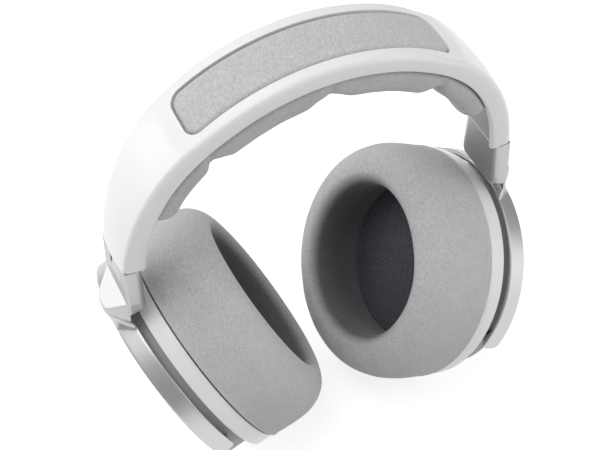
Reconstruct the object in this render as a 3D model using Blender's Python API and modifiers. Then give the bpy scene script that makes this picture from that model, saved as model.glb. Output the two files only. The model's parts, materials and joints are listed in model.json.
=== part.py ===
"""Over-ear headset with ring yokes, modelled piece by piece at real size.

Frame: +X is the wearer's left-to-right axis, +Y points to the back of the head and
+Z is up. The origin lies under the middle of the headset, on the plane that the two
cups' feet stand on. Lengths are metres.

The right side is worked out in that frame. The left side is the same set of pieces
turned half a turn about Z. Inside a cup the pieces share the cup's own frame: its X
runs to the back, its Y up along the cup and its Z outwards, away from the head, with
zero on the plane between the ear pad and the white ring.
"""
import math

import bmesh
import bpy
from mathutils import Matrix, Vector

MM = 0.001
GAP = 0.3 * MM                    # clearance between pieces that seat on each other

# --- cup and yoke -------------------------------------------------------------------
CUP_RADIUS = 47.5 * MM            # outer radius of the white ring
RING_DEPTH = 7.0 * MM             # white ring, front edge to back edge
RING_WALL = 2.3 * MM
RING_SHOULDER = 2.4 * MM          # inner shoulder that the baffle is clamped on
GROOVE = 3.15 * MM                # open groove between the white ring and the yoke band
BAND_WIDTH = 7.5 * MM             # yoke band along the cup axis
BAND_WALL = 2.0 * MM
BAND_PROUD = 0.4 * MM             # band surface outside the white ring's
YOKE_OPEN_ANGLE = math.radians(34.0)   # half of the open sector at the bottom
HOUSING_PLAY = 2.6 * MM           # running space between housing and band
HOUSING_WALL = 3.7 * MM
TOE_IN = math.radians(27.2)       # lean of the cup axis: bottoms closer together
FOOT_CUT = 1.3 * MM               # foot flat, cut from the round underside of the cup

# --- ear pad and driver ---------------------------------------------------------------
PAD_DEPTH = 28.9 * MM
PAD_HOLE = 30.9 * MM              # narrowest radius of the ear opening
PAD_BULGE = 1.2 * MM              # pad side outside the white ring
COVER_INSET = 4.7 * MM            # fabric driver cover, in front of the seam plane
COVER_RADIUS = 32.4 * MM
COVER_THICK = 0.8 * MM
PLATE_THICK = 1.5 * MM            # clip plate behind the pad
BAFFLE_THICK = 2.9 * MM
DRIVER_RADIUS = 23.7 * MM
MAGNET_RADIUS = 14.5 * MM
MAGNET_DEPTH = 5.6 * MM
GRILLE_THICK = 1.2 * MM
GRILLE_DOME = 1.7 * MM
GRILLE_HUB = 9.0 * MM
GRILLE_SECTORS = 28
CLOTH_THICK = 0.4 * MM

# --- pivots and swivel ------------------------------------------------------------------
PIVOT_RADIUS = 1.3 * MM           # tilt pins, front and back of each cup
PIVOT_HEAD_RADIUS = 1.9 * MM
BUSH_WALL = 0.8 * MM
BUSH_FLANGE = 0.6 * MM
BOSS_RADIUS = 4.2 * MM
SWIVEL_RADIUS = 1.8 * MM
SWIVEL_OFFSET = 2.6 * MM          # swivel axis outside the arm's outer face
NECK_RISE = 3.8 * MM              # neck top above the band's crown
NECK_HALF_WIDTH = 9.5 * MM
NECK_DEPTH = 7.2 * MM             # neck, inner face to outermost point
NECK_CORNER = 6.2 * MM            # plan radius of its two outer corners
NECK_FRONT_FLARE = 13.5 * MM      # half width where the neck runs into the band, in front
NECK_BACK_FLARE = 21.0 * MM       # the same at the band's back edge
NECK_SINK = 0.9 * MM              # neck's foot under the band's surface

# --- arm and slider ---------------------------------------------------------------------
ARM_LENGTH = 28.3 * MM            # neck joint to headband end
ARM_THICK = 7.1 * MM
ARM_STEP = 0.8 * MM                # shell's outer face outside the arm's
ARM_TOP_HALF = 11.7 * MM
ARM_BOTTOM_HALF = 12.8 * MM       # widest, just above the hinge
ARM_WAIST_RISE = 12.4 * MM        # widest place of the outer face above the joint
ARM_BOTTOM_RISE = 4.6 * MM        # inner bottom edge above the outer one
ARM_ROUND = 1.3 * MM
HINGE_BULGE = 7.0 * MM            # hinge block outside the arm's outer face
HINGE_TOP = 9.8 * MM              # top of the sloped face above the neck joint
CHANNEL_FOOT = 16.8 * MM          # channel's lower end above the neck joint
SLIDER_LEAN = 0.20                # slider strip off the vertical, radians
SLIDER_HALF_WIDTH = 4.5 * MM
SLIDER_THICK = 1.0 * MM
SLIDER_INSERTION = 26.0 * MM      # strip inside the headband when pushed home
SLIDER_DEPTH = 3.7 * MM           # strip's middle under the shell's face at its end
GUIDE_THICK = 2.8 * MM
GUIDE_HALF_WIDTH = 8.6 * MM
GUIDE_LENGTH = 12.0 * MM
GUIDE_OFFSET = 5.0 * MM           # guide above the headband's end

# --- headband ---------------------------------------------------------------------------
HALF_SPAN = 80.3 * MM             # outer face at the headband's ends
ARCH_RISE = 73.0 * MM             # crown above the headband's ends
CROWN_HANDLE = 34.0 * MM          # Bezier handles of the half arch
SIDE_HANDLE = 52.5 * MM
END_LEAN = 0.094                  # headband ends lean outwards, radians
BAND_HALF_TOP = 16.3 * MM
BAND_HALF_END = 11.6 * MM
SHELL_DEPTH = 7.9 * MM
SHELL_CROWN = 1.1 * MM
SHELL_EDGE_ROUND = 2.4 * MM
SHELL_SIDE_WALL = 1.7 * MM
SHELL_TOP_WALL = 2.8 * MM
SHELL_END_WALL = 1.5 * MM
INSERT_HALF_LENGTH = 54.5 * MM    # along the arch
INSERT_HALF_WIDTH = 10.5 * MM
INSERT_CORNER = 5.0 * MM
INSERT_THICK = 1.0 * MM
RECESS_DEPTH = 1.5 * MM
SPRING_HALF_WIDTH = 6.5 * MM
SPRING_THICK = 0.7 * MM
LINER_THICK = 1.6 * MM
LINER_DEPTH = 6.2 * MM            # liner's upper face below the shell's crown line
CUSHION_STOP = 29.5 * MM          # from the headband's end to the cushion's end
CUSHION_NOSE = 9.0 * MM           # rounded tip at each of its ends
CUSHION_DEPTH = 20.5 * MM         # lowest point of a lobe under the crown line
CUSHION_END_DEPTH = 18.3 * MM
CUSHION_CHANNELS = (-55.0 * MM, 0.0, 55.0 * MM)
CHANNEL_DEPTH = 3.2 * MM
CHANNEL_HALF_WIDTH = 4.5 * MM
SCREW_RADIUS = 0.9 * MM
SCREW_HEAD_RADIUS = 1.9 * MM

# --- jack block ---------------------------------------------------------------------------
SOCKET_RADIUS = 3.2 * MM
SOCKET_BORE = 1.8 * MM            # takes a 3.5 mm plug
SOCKET_LENGTH = 13.0 * MM
BOARD_SIZE = (14.0 * MM, 1.0 * MM, 8.0 * MM)

# --- worked out from the above ------------------------------------------------------------
BAND_RADIUS = CUP_RADIUS + BAND_PROUD
BAND_INNER = BAND_RADIUS - BAND_WALL
BAND_FRONT = RING_DEPTH + GROOVE
BAND_MIDDLE = BAND_FRONT + BAND_WIDTH / 2
BAND_BACK = BAND_FRONT + BAND_WIDTH
HOUSING_RADIUS = BAND_INNER - HOUSING_PLAY
HOUSING_INNER = HOUSING_RADIUS - HOUSING_WALL
FOOT_DEPTH = CUP_RADIUS - FOOT_CUT
SIN_T, COS_T = math.sin(TOE_IN), math.cos(TOE_IN)
ARM_OUTER = HALF_SPAN - ARM_STEP
SWIVEL_X = ARM_OUTER + SWIVEL_OFFSET
NECK_INNER_X = ARM_OUTER - 0.1 * MM
# The band's crown lies under the neck, a little inwards of the swivel axis.
CROWN_X = NECK_INNER_X + NECK_DEPTH * 0.25
CUP_X = CROWN_X - BAND_RADIUS * SIN_T - BAND_MIDDLE * COS_T
CUP_Z = FOOT_DEPTH * COS_T + BAND_BACK * SIN_T
CROWN_Z = CUP_Z + BAND_RADIUS * COS_T - BAND_MIDDLE * SIN_T
JOINT_Z = CROWN_Z + NECK_RISE     # plane between the yoke's neck and the arm
SHELL_END_Z = JOINT_Z + ARM_LENGTH
ARCH_TOP_Z = SHELL_END_Z + ARCH_RISE

CUP_FRAME = Matrix((
    (0.0, SIN_T, COS_T, CUP_X),
    (1.0, 0.0, 0.0, 0.0),
    (0.0, COS_T, -SIN_T, CUP_Z),
    (0.0, 0.0, 0.0, 1.0),
))

FINISHES = {                      # colour, roughness, metallic
    "white_shell": ((0.86, 0.86, 0.86), 0.35, 0.0),
    "grey_fabric": ((0.42, 0.42, 0.42), 0.9, 0.0),
    "charcoal_fabric": ((0.05, 0.05, 0.055), 0.9, 0.0),
    "satin_aluminium": ((0.62, 0.62, 0.62), 0.3, 1.0),
    "grey_metal": ((0.36, 0.36, 0.36), 0.4, 0.8),
    "steel": ((0.55, 0.55, 0.56), 0.3, 1.0),
    "grey_plastic": ((0.28, 0.28, 0.28), 0.5, 0.0),
    "dark_plastic": ((0.06, 0.06, 0.06), 0.5, 0.0),
    "board_green": ((0.03, 0.18, 0.07), 0.5, 0.0),
}

MODIFIER_SETTINGS = {
    "SCREW": ("axis", "angle", "steps", "render_steps", "use_merge_vertices",
              "merge_threshold", "use_smooth_shade"),
    "SOLIDIFY": ("thickness", "offset"),
}


# --- scene and object helpers -----------------------------------------------------------
def clear_scene():
    for obj in list(bpy.data.objects):
        bpy.data.objects.remove(obj, do_unlink=True)


def new_collection(name):
    collection = bpy.data.collections.new(name)
    bpy.context.scene.collection.children.link(collection)
    return collection


def finish(name):
    """The material of that name, made the first time it is asked for."""
    material = bpy.data.materials.get(name)
    if material is None:
        colour, roughness, metallic = FINISHES[name]
        material = bpy.data.materials.new(name)
        material.use_nodes = True
        shader = material.node_tree.nodes["Principled BSDF"]
        shader.inputs["Base Color"].default_value = (*colour, 1.0)
        shader.inputs["Roughness"].default_value = roughness
        shader.inputs["Metallic"].default_value = metallic
    return material


def empty(name, parent, matrix):
    obj = bpy.data.objects.new(name, None)
    PARTS.objects.link(obj)
    obj.parent = parent
    obj.matrix_local = matrix
    return obj


def piece(name, source, finish_name, parent=None):
    """A named piece: shares the mesh and repeats the modifiers of a source object."""
    obj = bpy.data.objects.new(name, source.data)
    if not source.data.materials:
        source.data.materials.append(finish(finish_name))
    for old in source.modifiers:
        new = obj.modifiers.new(old.name, old.type)
        for setting in MODIFIER_SETTINGS[old.type]:
            setattr(new, setting, getattr(old, setting))
    PARTS.objects.link(obj)
    obj.parent = parent
    return obj


def guide(name, mesh):
    """A shape that only cuts, joins or serves as a source, and is not part of the model."""
    obj = bpy.data.objects.new(name, mesh)
    GUIDES.objects.link(obj)
    obj.hide_render = True
    obj.display_type = 'WIRE'
    return obj


def solid_from(bm, name):
    bmesh.ops.recalc_face_normals(bm, faces=bm.faces)
    mesh = bpy.data.meshes.new(name)
    bm.to_mesh(mesh)
    bm.free()
    return mesh


def combined(name, base, operations):
    """The base guide after Boolean operations, evaluated to one mesh on a new guide."""
    for kind, tool in operations:
        boolean = base.modifiers.new(kind.lower(), 'BOOLEAN')
        boolean.operation = kind
        boolean.object = tool
    bpy.context.view_layer.update()
    evaluated = base.evaluated_get(bpy.context.evaluated_depsgraph_get())
    mesh = bpy.data.meshes.new_from_object(evaluated)
    mesh.name = name
    return guide(name + "_solid", mesh)


# --- shape helpers ------------------------------------------------------------------------
def turned(name, profile, steps, matrix=None):
    """A body turned about Z from a closed or axis-to-axis profile of (radius, height)."""
    count = len(profile)
    area = sum(profile[i][0] * profile[(i + 1) % count][1]
               - profile[(i + 1) % count][0] * profile[i][1] for i in range(count))
    points = list(profile) if area < 0 else list(reversed(profile))
    touches_axis = min(radius for radius, _ in points) < 1e-6
    if touches_axis:
        while not (points[0][0] < 1e-6 and points[-1][0] < 1e-6):
            points = points[1:] + points[:1]
    mesh = bpy.data.meshes.new(name)
    edges = [(i, i + 1) for i in range(count - 1)]
    if not touches_axis:
        edges.append((count - 1, 0))
    mesh.from_pydata([(radius, 0.0, height) for radius, height in points], edges, [])
    obj = guide(name + "_profile", mesh)
    screw = obj.modifiers.new("turn", 'SCREW')
    screw.axis = 'Z'
    screw.angle = math.tau
    screw.steps = steps
    screw.render_steps = steps
    screw.use_merge_vertices = True
    screw.merge_threshold = 1e-6
    screw.use_smooth_shade = True
    if matrix is not None:
        obj.matrix_world = matrix
    return obj


def box(name, size, matrix):
    bm = bmesh.new()
    bmesh.ops.create_cube(bm, size=1.0, matrix=matrix @ Matrix.Diagonal((*size, 1.0)))
    return guide(name, solid_from(bm, name))


def rod(name, radius, start, end, steps=12):
    """A cylinder between two points."""
    start, end = Vector(start), Vector(end)
    along = end - start
    matrix = Matrix.Translation((start + end) / 2) @ along.to_track_quat('Z', 'Y').to_matrix().to_4x4()
    bm = bmesh.new()
    bmesh.ops.create_cone(bm, cap_ends=True, segments=steps, radius1=radius, radius2=radius,
                          depth=along.length, matrix=matrix)
    return guide(name, solid_from(bm, name))


def loft(name, rings):
    """A closed body skinned over rings of equally many points, flat at both ends."""
    bm = bmesh.new()
    rows = [[bm.verts.new(point) for point in ring] for ring in rings]
    count = len(rows[0])
    for low, high in zip(rows, rows[1:]):
        for i in range(count):
            j = (i + 1) % count
            bm.faces.new((low[i], low[j], high[j], high[i]))
    bm.faces.new(rows[0])
    bm.faces.new(rows[-1])
    return guide(name, solid_from(bm, name))


def smooth_loop(points, count):
    """A closed loop of count points on the Catmull-Rom curve through the given ones."""
    total = len(points)
    loop = []
    for k in range(count):
        place = k * total / count
        i = int(place)
        u = place - i
        p0, p1, p2, p3 = (points[(i + o) % total] for o in (-1, 0, 1, 2))
        loop.append(tuple(
            0.5 * (2 * b + (c - a) * u + (2 * a - 5 * b + 4 * c - d) * u * u
                   + (3 * b - a - 3 * c + d) * u ** 3)
            for a, b, c, d in zip(p0, p1, p2, p3)))
    return loop


def turned_about_x(matrix_x, side):
    """Places a body turned about Z on the cup's X axis, pointing to the given side."""
    return Matrix.Translation((matrix_x * side, 0.0, BAND_MIDDLE)) @ Matrix.Rotation(
        side * math.pi / 2, 4, 'Y')


# --- the arch of the headband -------------------------------------------------------------
def half_arch(samples=240):
    """Points, outward normals and arc lengths of the right half of the outer arch."""
    top = Vector((0.0, ARCH_TOP_Z))
    end = Vector((HALF_SPAN, SHELL_END_Z))
    handle = end + SIDE_HANDLE * Vector((-math.sin(END_LEAN), math.cos(END_LEAN)))
    control = (top, top + Vector((CROWN_HANDLE, 0.0)), handle, end)
    table = []
    length = 0.0
    previous = top
    for k in range(samples + 1):
        t = k / samples
        a, b, c, d = (1 - t) ** 3, 3 * (1 - t) ** 2 * t, 3 * (1 - t) * t * t, t ** 3
        point = a * control[0] + b * control[1] + c * control[2] + d * control[3]
        along = ((1 - t) ** 2 * (control[1] - control[0])
                 + 2 * (1 - t) * t * (control[2] - control[1])
                 + t * t * (control[3] - control[2])).normalized()
        length += (point - previous).length
        previous = point
        table.append((length, point, Vector((-along.y, along.x))))
    return table


ARCH = half_arch()
ARCH_LENGTH = ARCH[-1][0]         # from the crown to the headband's end
CUSHION_END = ARCH_LENGTH - CUSHION_STOP


def arch_place(s, y, depth):
    """World point at arc length s from the crown, y to the back, depth under the face."""
    wanted = min(abs(s), ARCH_LENGTH)
    k = next(i for i in range(1, len(ARCH)) if ARCH[i][0] >= wanted - 1e-9)
    (s0, p0, n0), (s1, p1, n1) = ARCH[k - 1], ARCH[k]
    u = (wanted - s0) / (s1 - s0)
    point = p0.lerp(p1, u) - depth * n0.lerp(n1, u).normalized()
    return Vector((math.copysign(point.x, s) if s else 0.0, y, point.y))


def spaced(low, high, count):
    return [low + (high - low) * k / (count - 1) for k in range(count)]


def half_width(s):
    """Half width of the shell: widest over the crown, narrower towards the ends."""
    share = max(0.0, abs(s) / ARCH_LENGTH - 0.35) / 0.65
    return BAND_HALF_TOP + (BAND_HALF_END - BAND_HALF_TOP) * share ** 1.2


def face_drop(s, y):
    """How far the crowned outer face lies under the crown line at y."""
    return SHELL_CROWN * (y / half_width(s)) ** 2


def top_wall(s):
    """Wall between the outer face and the cavity: thinner at the ends, round the slider."""
    share = min(1.0, max(0.0, (abs(s) - INSERT_HALF_LENGTH - 8 * MM) / (22 * MM)))
    return SHELL_TOP_WALL + (SHELL_END_WALL - SHELL_TOP_WALL) * share


def shell_section(s):
    w, wall = half_width(s), top_wall(s)
    r = SHELL_EDGE_ROUND
    half = [(w * 0.5, face_drop(s, w * 0.5))]
    start = face_drop(s, w - r)
    for angle in (0.0, 45.0, 90.0):
        a = math.radians(angle)
        half.append((w - r + r * math.sin(a), start + r * (1 - math.cos(a))))
    inner = w - SHELL_SIDE_WALL
    half += [(w, SHELL_DEPTH - 0.5 * MM), (w - 0.5 * MM, SHELL_DEPTH), (inner, SHELL_DEPTH),
             (inner, wall + 0.8 * MM), (inner - 0.8 * MM, wall)]
    return [(0.0, 0.0)] + half + [(0.0, wall)] + [(-y, d) for y, d in reversed(half)]


def arch_loft(name, section, stations):
    return loft(name, [[arch_place(s, y, d) for y, d in section(s)] for s in stations])


def insert_half_width(s, half_length, margin):
    corner = INSERT_CORNER
    over = abs(s) - (half_length - corner)
    if over <= 0:
        return INSERT_HALF_WIDTH + margin
    return INSERT_HALF_WIDTH + margin - corner + math.sqrt(max(0.0, corner ** 2 - over ** 2))


def insert_body(name, margin, upper, lower):
    """A rounded strip along the crown, between two depths under the crowned face."""
    half_length = INSERT_HALF_LENGTH + margin
    corner = [half_length - INSERT_CORNER * (1 - math.sin(math.radians(a)))
              for a in (30, 60, 90)]
    stations = ([-s for s in reversed(corner)]
                + spaced(-half_length + INSERT_CORNER, half_length - INSERT_CORNER, 13) + corner)

    def section(s):
        w = insert_half_width(s, half_length, margin)
        shares = (-1.0, -0.5, 0.0, 0.5, 1.0)
        top = [(w * k, upper(s, w * k)) for k in shares]
        return top + [(w * k, lower(s, w * k)) for k in reversed(shares)]

    return arch_loft(name, section, stations)


def build_headband():
    stations = spaced(-ARCH_LENGTH, ARCH_LENGTH, 31)
    shell = arch_loft("shell", shell_section, stations)
    recess = insert_body("recess", GAP, lambda s, y: -3 * MM,
                         lambda s, y: RECESS_DEPTH + face_drop(s, y))
    piece("headband_shell", combined("shell", shell, [('DIFFERENCE', recess)]), "white_shell")

    insert = insert_body("insert", 0.0,
                         lambda s, y: RECESS_DEPTH - GAP - INSERT_THICK + face_drop(s, y),
                         lambda s, y: RECESS_DEPTH - GAP + face_drop(s, y))
    piece("top_insert", insert, "grey_fabric")

    spring_top = LINER_DEPTH - GAP - SPRING_THICK
    spring = arch_loft("spring", lambda s: [
        (-SPRING_HALF_WIDTH, spring_top), (SPRING_HALF_WIDTH, spring_top),
        (SPRING_HALF_WIDTH, spring_top + SPRING_THICK),
        (-SPRING_HALF_WIDTH, spring_top + SPRING_THICK)], spaced(-SPRING_END, SPRING_END, 25))
    piece("headband_spring", spring, "steel")

    def liner_section(s):
        w = half_width(s) - SHELL_SIDE_WALL - GAP
        low = LINER_DEPTH + LINER_THICK
        return [(-w, LINER_DEPTH), (0.0, LINER_DEPTH), (w, LINER_DEPTH),
                (w, low), (0.0, low), (-w, low)]

    liner = arch_loft("liner", liner_section, stations)
    holes = [('DIFFERENCE', screw_body("screw_hole_%d_%d" % (side, end), side, end, GAP))
             for side in (-1, 1) for end in (-1, 1)]
    piece("headband_liner", combined("liner", liner, holes), "grey_plastic")

    def cushion_section(s):
        w = half_width(s)
        top = LINER_DEPTH + LINER_THICK + GAP
        low = cushion_depth(s)
        side = top + (low - top) * 0.45
        half = [(w - 2.4 * MM, top), (w - 1.3 * MM, top + (low - top) * 0.15),
                (w - 0.9 * MM, side), (w * 0.84, top + (low - top) * 0.80),
                (w * 0.5, top + (low - top) * 0.96)]
        return [(0.0, top)] + half + [(0.0, low)] + [(-y, d) for y, d in reversed(half)]

    cushion = arch_loft("cushion", cushion_section, spaced(-CUSHION_END, CUSHION_END, 47))
    piece("head_cushion", cushion, "grey_fabric")


def cushion_depth(s):
    """Lower outline of the head cushion: lobes between channels, tapered ends."""
    base = CUSHION_DEPTH if abs(s) < abs(CUSHION_CHANNELS[0]) else CUSHION_END_DEPTH
    for channel in CUSHION_CHANNELS:
        base -= CHANNEL_DEPTH * math.exp(-((s - channel) / CHANNEL_HALF_WIDTH) ** 2)
    top = LINER_DEPTH + LINER_THICK + GAP
    over = max(0.0, abs(s) - CUSHION_END + CUSHION_NOSE) / CUSHION_NOSE
    return top + (base - top) * max(0.12, math.sqrt(max(0.0, 1 - over ** 2)))


# --- slider, guide and liner screws ---------------------------------------------------------
SLIDER_FRAME = (Matrix.Translation((HALF_SPAN - SLIDER_DEPTH, 0.0, SHELL_END_Z))
                @ Matrix.Rotation(-SLIDER_LEAN, 4, 'Y'))
CHANNEL_LENGTH = (ARM_LENGTH - CHANNEL_FOOT) / math.cos(SLIDER_LEAN)
SLIDER_TAIL = CHANNEL_LENGTH - GAP
GUIDE_MIDDLE = GUIDE_OFFSET + GUIDE_LENGTH / 2
SCREW_S = ARCH_LENGTH - GUIDE_MIDDLE
SCREW_Y = (GUIDE_HALF_WIDTH + SLIDER_HALF_WIDTH) / 2
SPRING_END = ARCH_LENGTH - GUIDE_OFFSET - GUIDE_LENGTH - GUIDE_THICK / 2 - GAP


def screw_body(name, side, end, margin):
    """Countersunk liner screw, flush with the liner and screwed into the slide guide."""
    tip = LINER_DEPTH - 2.8 * MM
    profile = [(0.0, -(LINER_DEPTH + LINER_THICK)),
               (SCREW_HEAD_RADIUS + margin, -(LINER_DEPTH + LINER_THICK)),
               (SCREW_RADIUS + margin, -(LINER_DEPTH + 0.4 * MM)),
               (SCREW_RADIUS + margin, -tip + margin), (0.0, -tip + margin)]
    if margin:
        profile[0] = (0.0, profile[0][1] - 1.0 * MM)
        profile.insert(1, (SCREW_HEAD_RADIUS + margin, profile[0][1]))
    s = SCREW_S * end
    origin = arch_place(s, SCREW_Y * side, 0.0)
    normal = origin - arch_place(s, SCREW_Y * side, 1.0 * MM)
    matrix = Matrix.Translation(origin) @ normal.to_track_quat('Z', 'Y').to_matrix().to_4x4()
    return turned(name, profile, 10, matrix)


def build_slide_parts():
    strip_length = SLIDER_INSERTION + SLIDER_TAIL
    strip = box("slider", (SLIDER_THICK, 2 * SLIDER_HALF_WIDTH, strip_length),
                SLIDER_FRAME @ Matrix.Translation((0, 0, SLIDER_INSERTION - strip_length / 2)))
    block = box("guide_block", (GUIDE_THICK, 2 * GUIDE_HALF_WIDTH, GUIDE_LENGTH),
                SLIDER_FRAME @ Matrix.Translation((0, 0, GUIDE_MIDDLE)))
    slot = box("guide_slot", (SLIDER_THICK + 2 * GAP, 2 * (SLIDER_HALF_WIDTH + GAP),
                              GUIDE_LENGTH * 2),
               SLIDER_FRAME @ Matrix.Translation((0, 0, GUIDE_MIDDLE)))
    cuts = [('DIFFERENCE', slot)]
    cuts += [('DIFFERENCE', screw_body("guide_hole_%d" % side, side, 1, GAP)) for side in (-1, 1)]
    return strip, combined("slide_guide", block, cuts)


# --- arm ------------------------------------------------------------------------------------
def d_loop():
    """Plan of the hinge as (along Y, across) shares: flat inside, round outer corners."""
    loop = [(-1.0, 0.0), (-0.5, 0.0), (0.0, 0.0), (0.5, 0.0), (1.0, 0.0)]
    along, across = NECK_CORNER / NECK_HALF_WIDTH, NECK_CORNER / NECK_DEPTH
    corner = []
    for degrees in (0, 30, 60, 90):
        a = math.radians(degrees)
        corner.append((1 - along + along * math.cos(a), 1 - across + across * math.sin(a)))
    return loop + corner + [(0.0, 1.0)] + [(-u, v) for u, v in reversed(corner)]


def arm_ring(half_in, half_out, z_in, z_out):
    """Closed section of the arm's plate, its corners rounded."""
    inner, r = ARM_OUTER - ARM_THICK, ARM_ROUND
    half = [(ARM_OUTER, half_out * 0.5), (ARM_OUTER, half_out - r),
            (ARM_OUTER - 0.3 * r, half_out - 0.3 * r), (ARM_OUTER - r, half_out),
            (inner + r, half_in), (inner + 0.3 * r, half_in - 0.3 * r),
            (inner, half_in - r), (inner, half_in * 0.5)]
    outline = half + [(x, -y) for x, y in reversed(half)]
    return [(x, y, z_out + (z_in - z_out) * (ARM_OUTER - x) / ARM_THICK) for x, y in outline]


def build_arm():
    bottom = JOINT_Z + 0.4 * MM
    foot_half = NECK_HALF_WIDTH + 0.2 * MM
    # The top follows the slanted end of the headband.
    top_out = SHELL_END_Z - GAP - ARM_STEP * math.tan(END_LEAN)
    top_in = top_out - ARM_THICK * math.tan(END_LEAN)
    body = loft("arm_body", [
        arm_ring(foot_half + 1.4 * MM, foot_half, bottom + ARM_BOTTOM_RISE, bottom),
        arm_ring(ARM_BOTTOM_HALF, ARM_BOTTOM_HALF, bottom + ARM_BOTTOM_RISE + 1.6 * MM,
                 JOINT_Z + ARM_WAIST_RISE),
        arm_ring(ARM_TOP_HALF, ARM_TOP_HALF, top_in, top_out)])

    root_x = ARM_OUTER - 0.5 * MM
    reach = ARM_OUTER + HINGE_BULGE - root_x
    loop = [(root_x + reach * across, along * foot_half) for along, across in d_loop()]
    facet = JOINT_Z + HINGE_TOP + ARM_OUTER
    hinge = loft("hinge_block", [[(x, y, JOINT_Z) for x, y in loop],
                                 [(x, y, facet - x) for x, y in loop]])
    deep = SLIDER_THICK / 2 + GAP
    channel = box("arm_channel", (8 * MM, 2 * (SLIDER_HALF_WIDTH + GAP), CHANNEL_LENGTH * 2),
                  SLIDER_FRAME @ Matrix.Translation((4 * MM - deep, 0, 0)))
    bore = rod("swivel_bore", SWIVEL_RADIUS + GAP, (SWIVEL_X, 0, JOINT_Z - 2 * MM),
               (SWIVEL_X, 0, SWIVEL_TOP + GAP))
    return combined("arm", body, [('UNION', hinge), ('DIFFERENCE', channel), ('DIFFERENCE', bore)])


SWIVEL_TOP = JOINT_Z + HINGE_TOP - SWIVEL_OFFSET - SWIVEL_RADIUS - 1.0 * MM
SWIVEL_FOOT = JOINT_Z - NECK_RISE - 0.2 * MM


# --- yoke -------------------------------------------------------------------------------------
def build_yoke():
    """C-shaped band with its neck and its two pivot bosses, in the cup's frame."""
    chamfer = 0.5 * MM
    outline = []
    for radius, height, dr, dz in ((BAND_INNER, BAND_FRONT, 1, 1), (BAND_RADIUS, BAND_FRONT, -1, 1),
                                   (BAND_RADIUS, BAND_BACK, -1, -1), (BAND_INNER, BAND_BACK, 1, -1)):
        corner = [(radius + dr * chamfer, height), (radius, height + dz * chamfer)]
        outline += corner if dr * dz < 0 else reversed(corner)
    start = -math.pi / 2 + YOKE_OPEN_ANGLE
    bm = bmesh.new()
    turn = Matrix.Rotation(start, 3, 'Z')
    face = bm.faces.new([bm.verts.new(turn @ Vector((r, 0.0, z))) for r, z in outline])
    bmesh.ops.spin(bm, geom=[face, *face.edges, *face.verts], cent=(0, 0, 0), axis=(0, 0, 1),
                   angle=math.tau - 2 * YOKE_OPEN_ANGLE, steps=40)
    band = guide("yoke_band", solid_from(bm, "yoke_band"))

    to_cup = CUP_FRAME.inverted()
    plan = d_loop()
    foot_plan = [(-1.0, 0.0), (-0.5, 0.0), (0.0, 0.0), (0.5, 0.0), (1.0, 0.0), (1.0, 0.35),
                 (1.0, 0.7), (0.8, 1.0), (0.4, 1.0), (0.0, 1.0), (-0.4, 1.0), (-0.8, 1.0),
                 (-1.0, 0.7), (-1.0, 0.35)]
    foot_radius = BAND_RADIUS - NECK_SINK
    inset = 0.3 * MM
    rings = []
    for share in (0.0, 0.12, 0.26, 0.42, 0.6, 0.8, 1.0):
        ring = []
        for (a0, b0), (a1, b1) in zip(foot_plan, plan):
            flare = NECK_FRONT_FLARE + (NECK_BACK_FLARE - NECK_FRONT_FLARE) * b0
            spread = NECK_HALF_WIDTH + (flare - NECK_HALF_WIDTH) * (1 - share) ** 2.5
            along = a0 + (a1 - a0) * share
            x = along * spread
            foot = Vector((a0 * flare, math.sqrt(foot_radius ** 2 - (a0 * flare) ** 2),
                           BAND_FRONT + inset + (BAND_WIDTH - 2 * inset) * b0))
            head = to_cup @ Vector((NECK_INNER_X + NECK_DEPTH * b1, 0.0, JOINT_Z - GAP))
            ring.append((x, foot.y + (head.y - foot.y) * share, foot.z + (head.z - foot.z) * share))
        rings.append(ring)
    neck = loft("yoke_neck", rings)

    room = rod("band_room", BAND_INNER - 0.2 * MM, (0, 0, BAND_FRONT - 4 * MM),
               (0, 0, BAND_BACK + 4 * MM), 48)
    tools = [('UNION', neck), ('DIFFERENCE', room)]
    for side in (-1, 1):
        boss = rod("pivot_boss_%d" % side, BOSS_RADIUS, (side * BOSS_FACE, 0, BAND_MIDDLE),
                   (side * (BAND_RADIUS - BAND_WALL / 2), 0, BAND_MIDDLE))
        tools.append(('UNION', boss))
    for side in (-1, 1):
        bore = rod("pivot_bore_%d" % side, PIVOT_RADIUS + GAP,
                   (side * (BOSS_FACE - 2 * MM), 0, BAND_MIDDLE),
                   (side * (PIVOT_TIP + GAP), 0, BAND_MIDDLE))
        tools.append(('DIFFERENCE', bore))
    socket = rod("swivel_socket", SWIVEL_RADIUS + GAP,
                 to_cup @ Vector((SWIVEL_X, 0, SWIVEL_FOOT - GAP)),
                 to_cup @ Vector((SWIVEL_X, 0, JOINT_Z + 2 * MM)))
    tools.append(('DIFFERENCE', socket))
    return combined("yoke", band, tools)


BUSH_OUT = HOUSING_RADIUS + GAP + BUSH_FLANGE
BOSS_FACE = BUSH_OUT + GAP
PIVOT_TIP = BAND_RADIUS - 1.3 * MM
BUSH_IN = HOUSING_INNER - 0.2 * MM
PIVOT_HEAD = BUSH_IN - GAP


def build_pivots():
    """Tilt pin and its flanged bush, each along Z from the cup's middle."""
    head_thick = 1.1 * MM
    pin = turned("pivot_pin", [(0.0, PIVOT_TIP), (PIVOT_RADIUS, PIVOT_TIP),
                               (PIVOT_RADIUS, PIVOT_HEAD), (PIVOT_HEAD_RADIUS, PIVOT_HEAD),
                               (PIVOT_HEAD_RADIUS, PIVOT_HEAD - head_thick),
                               (0.0, PIVOT_HEAD - head_thick)], 10)
    bore = PIVOT_RADIUS + GAP
    tube = bore + BUSH_WALL
    flange = tube + 0.8 * MM
    bush = turned("pivot_bush", [(bore, BUSH_OUT), (flange, BUSH_OUT),
                                 (flange, BUSH_OUT - BUSH_FLANGE), (tube, BUSH_OUT - BUSH_FLANGE),
                                 (tube, BUSH_IN), (bore, BUSH_IN)], 10)
    return pin, bush


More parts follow.
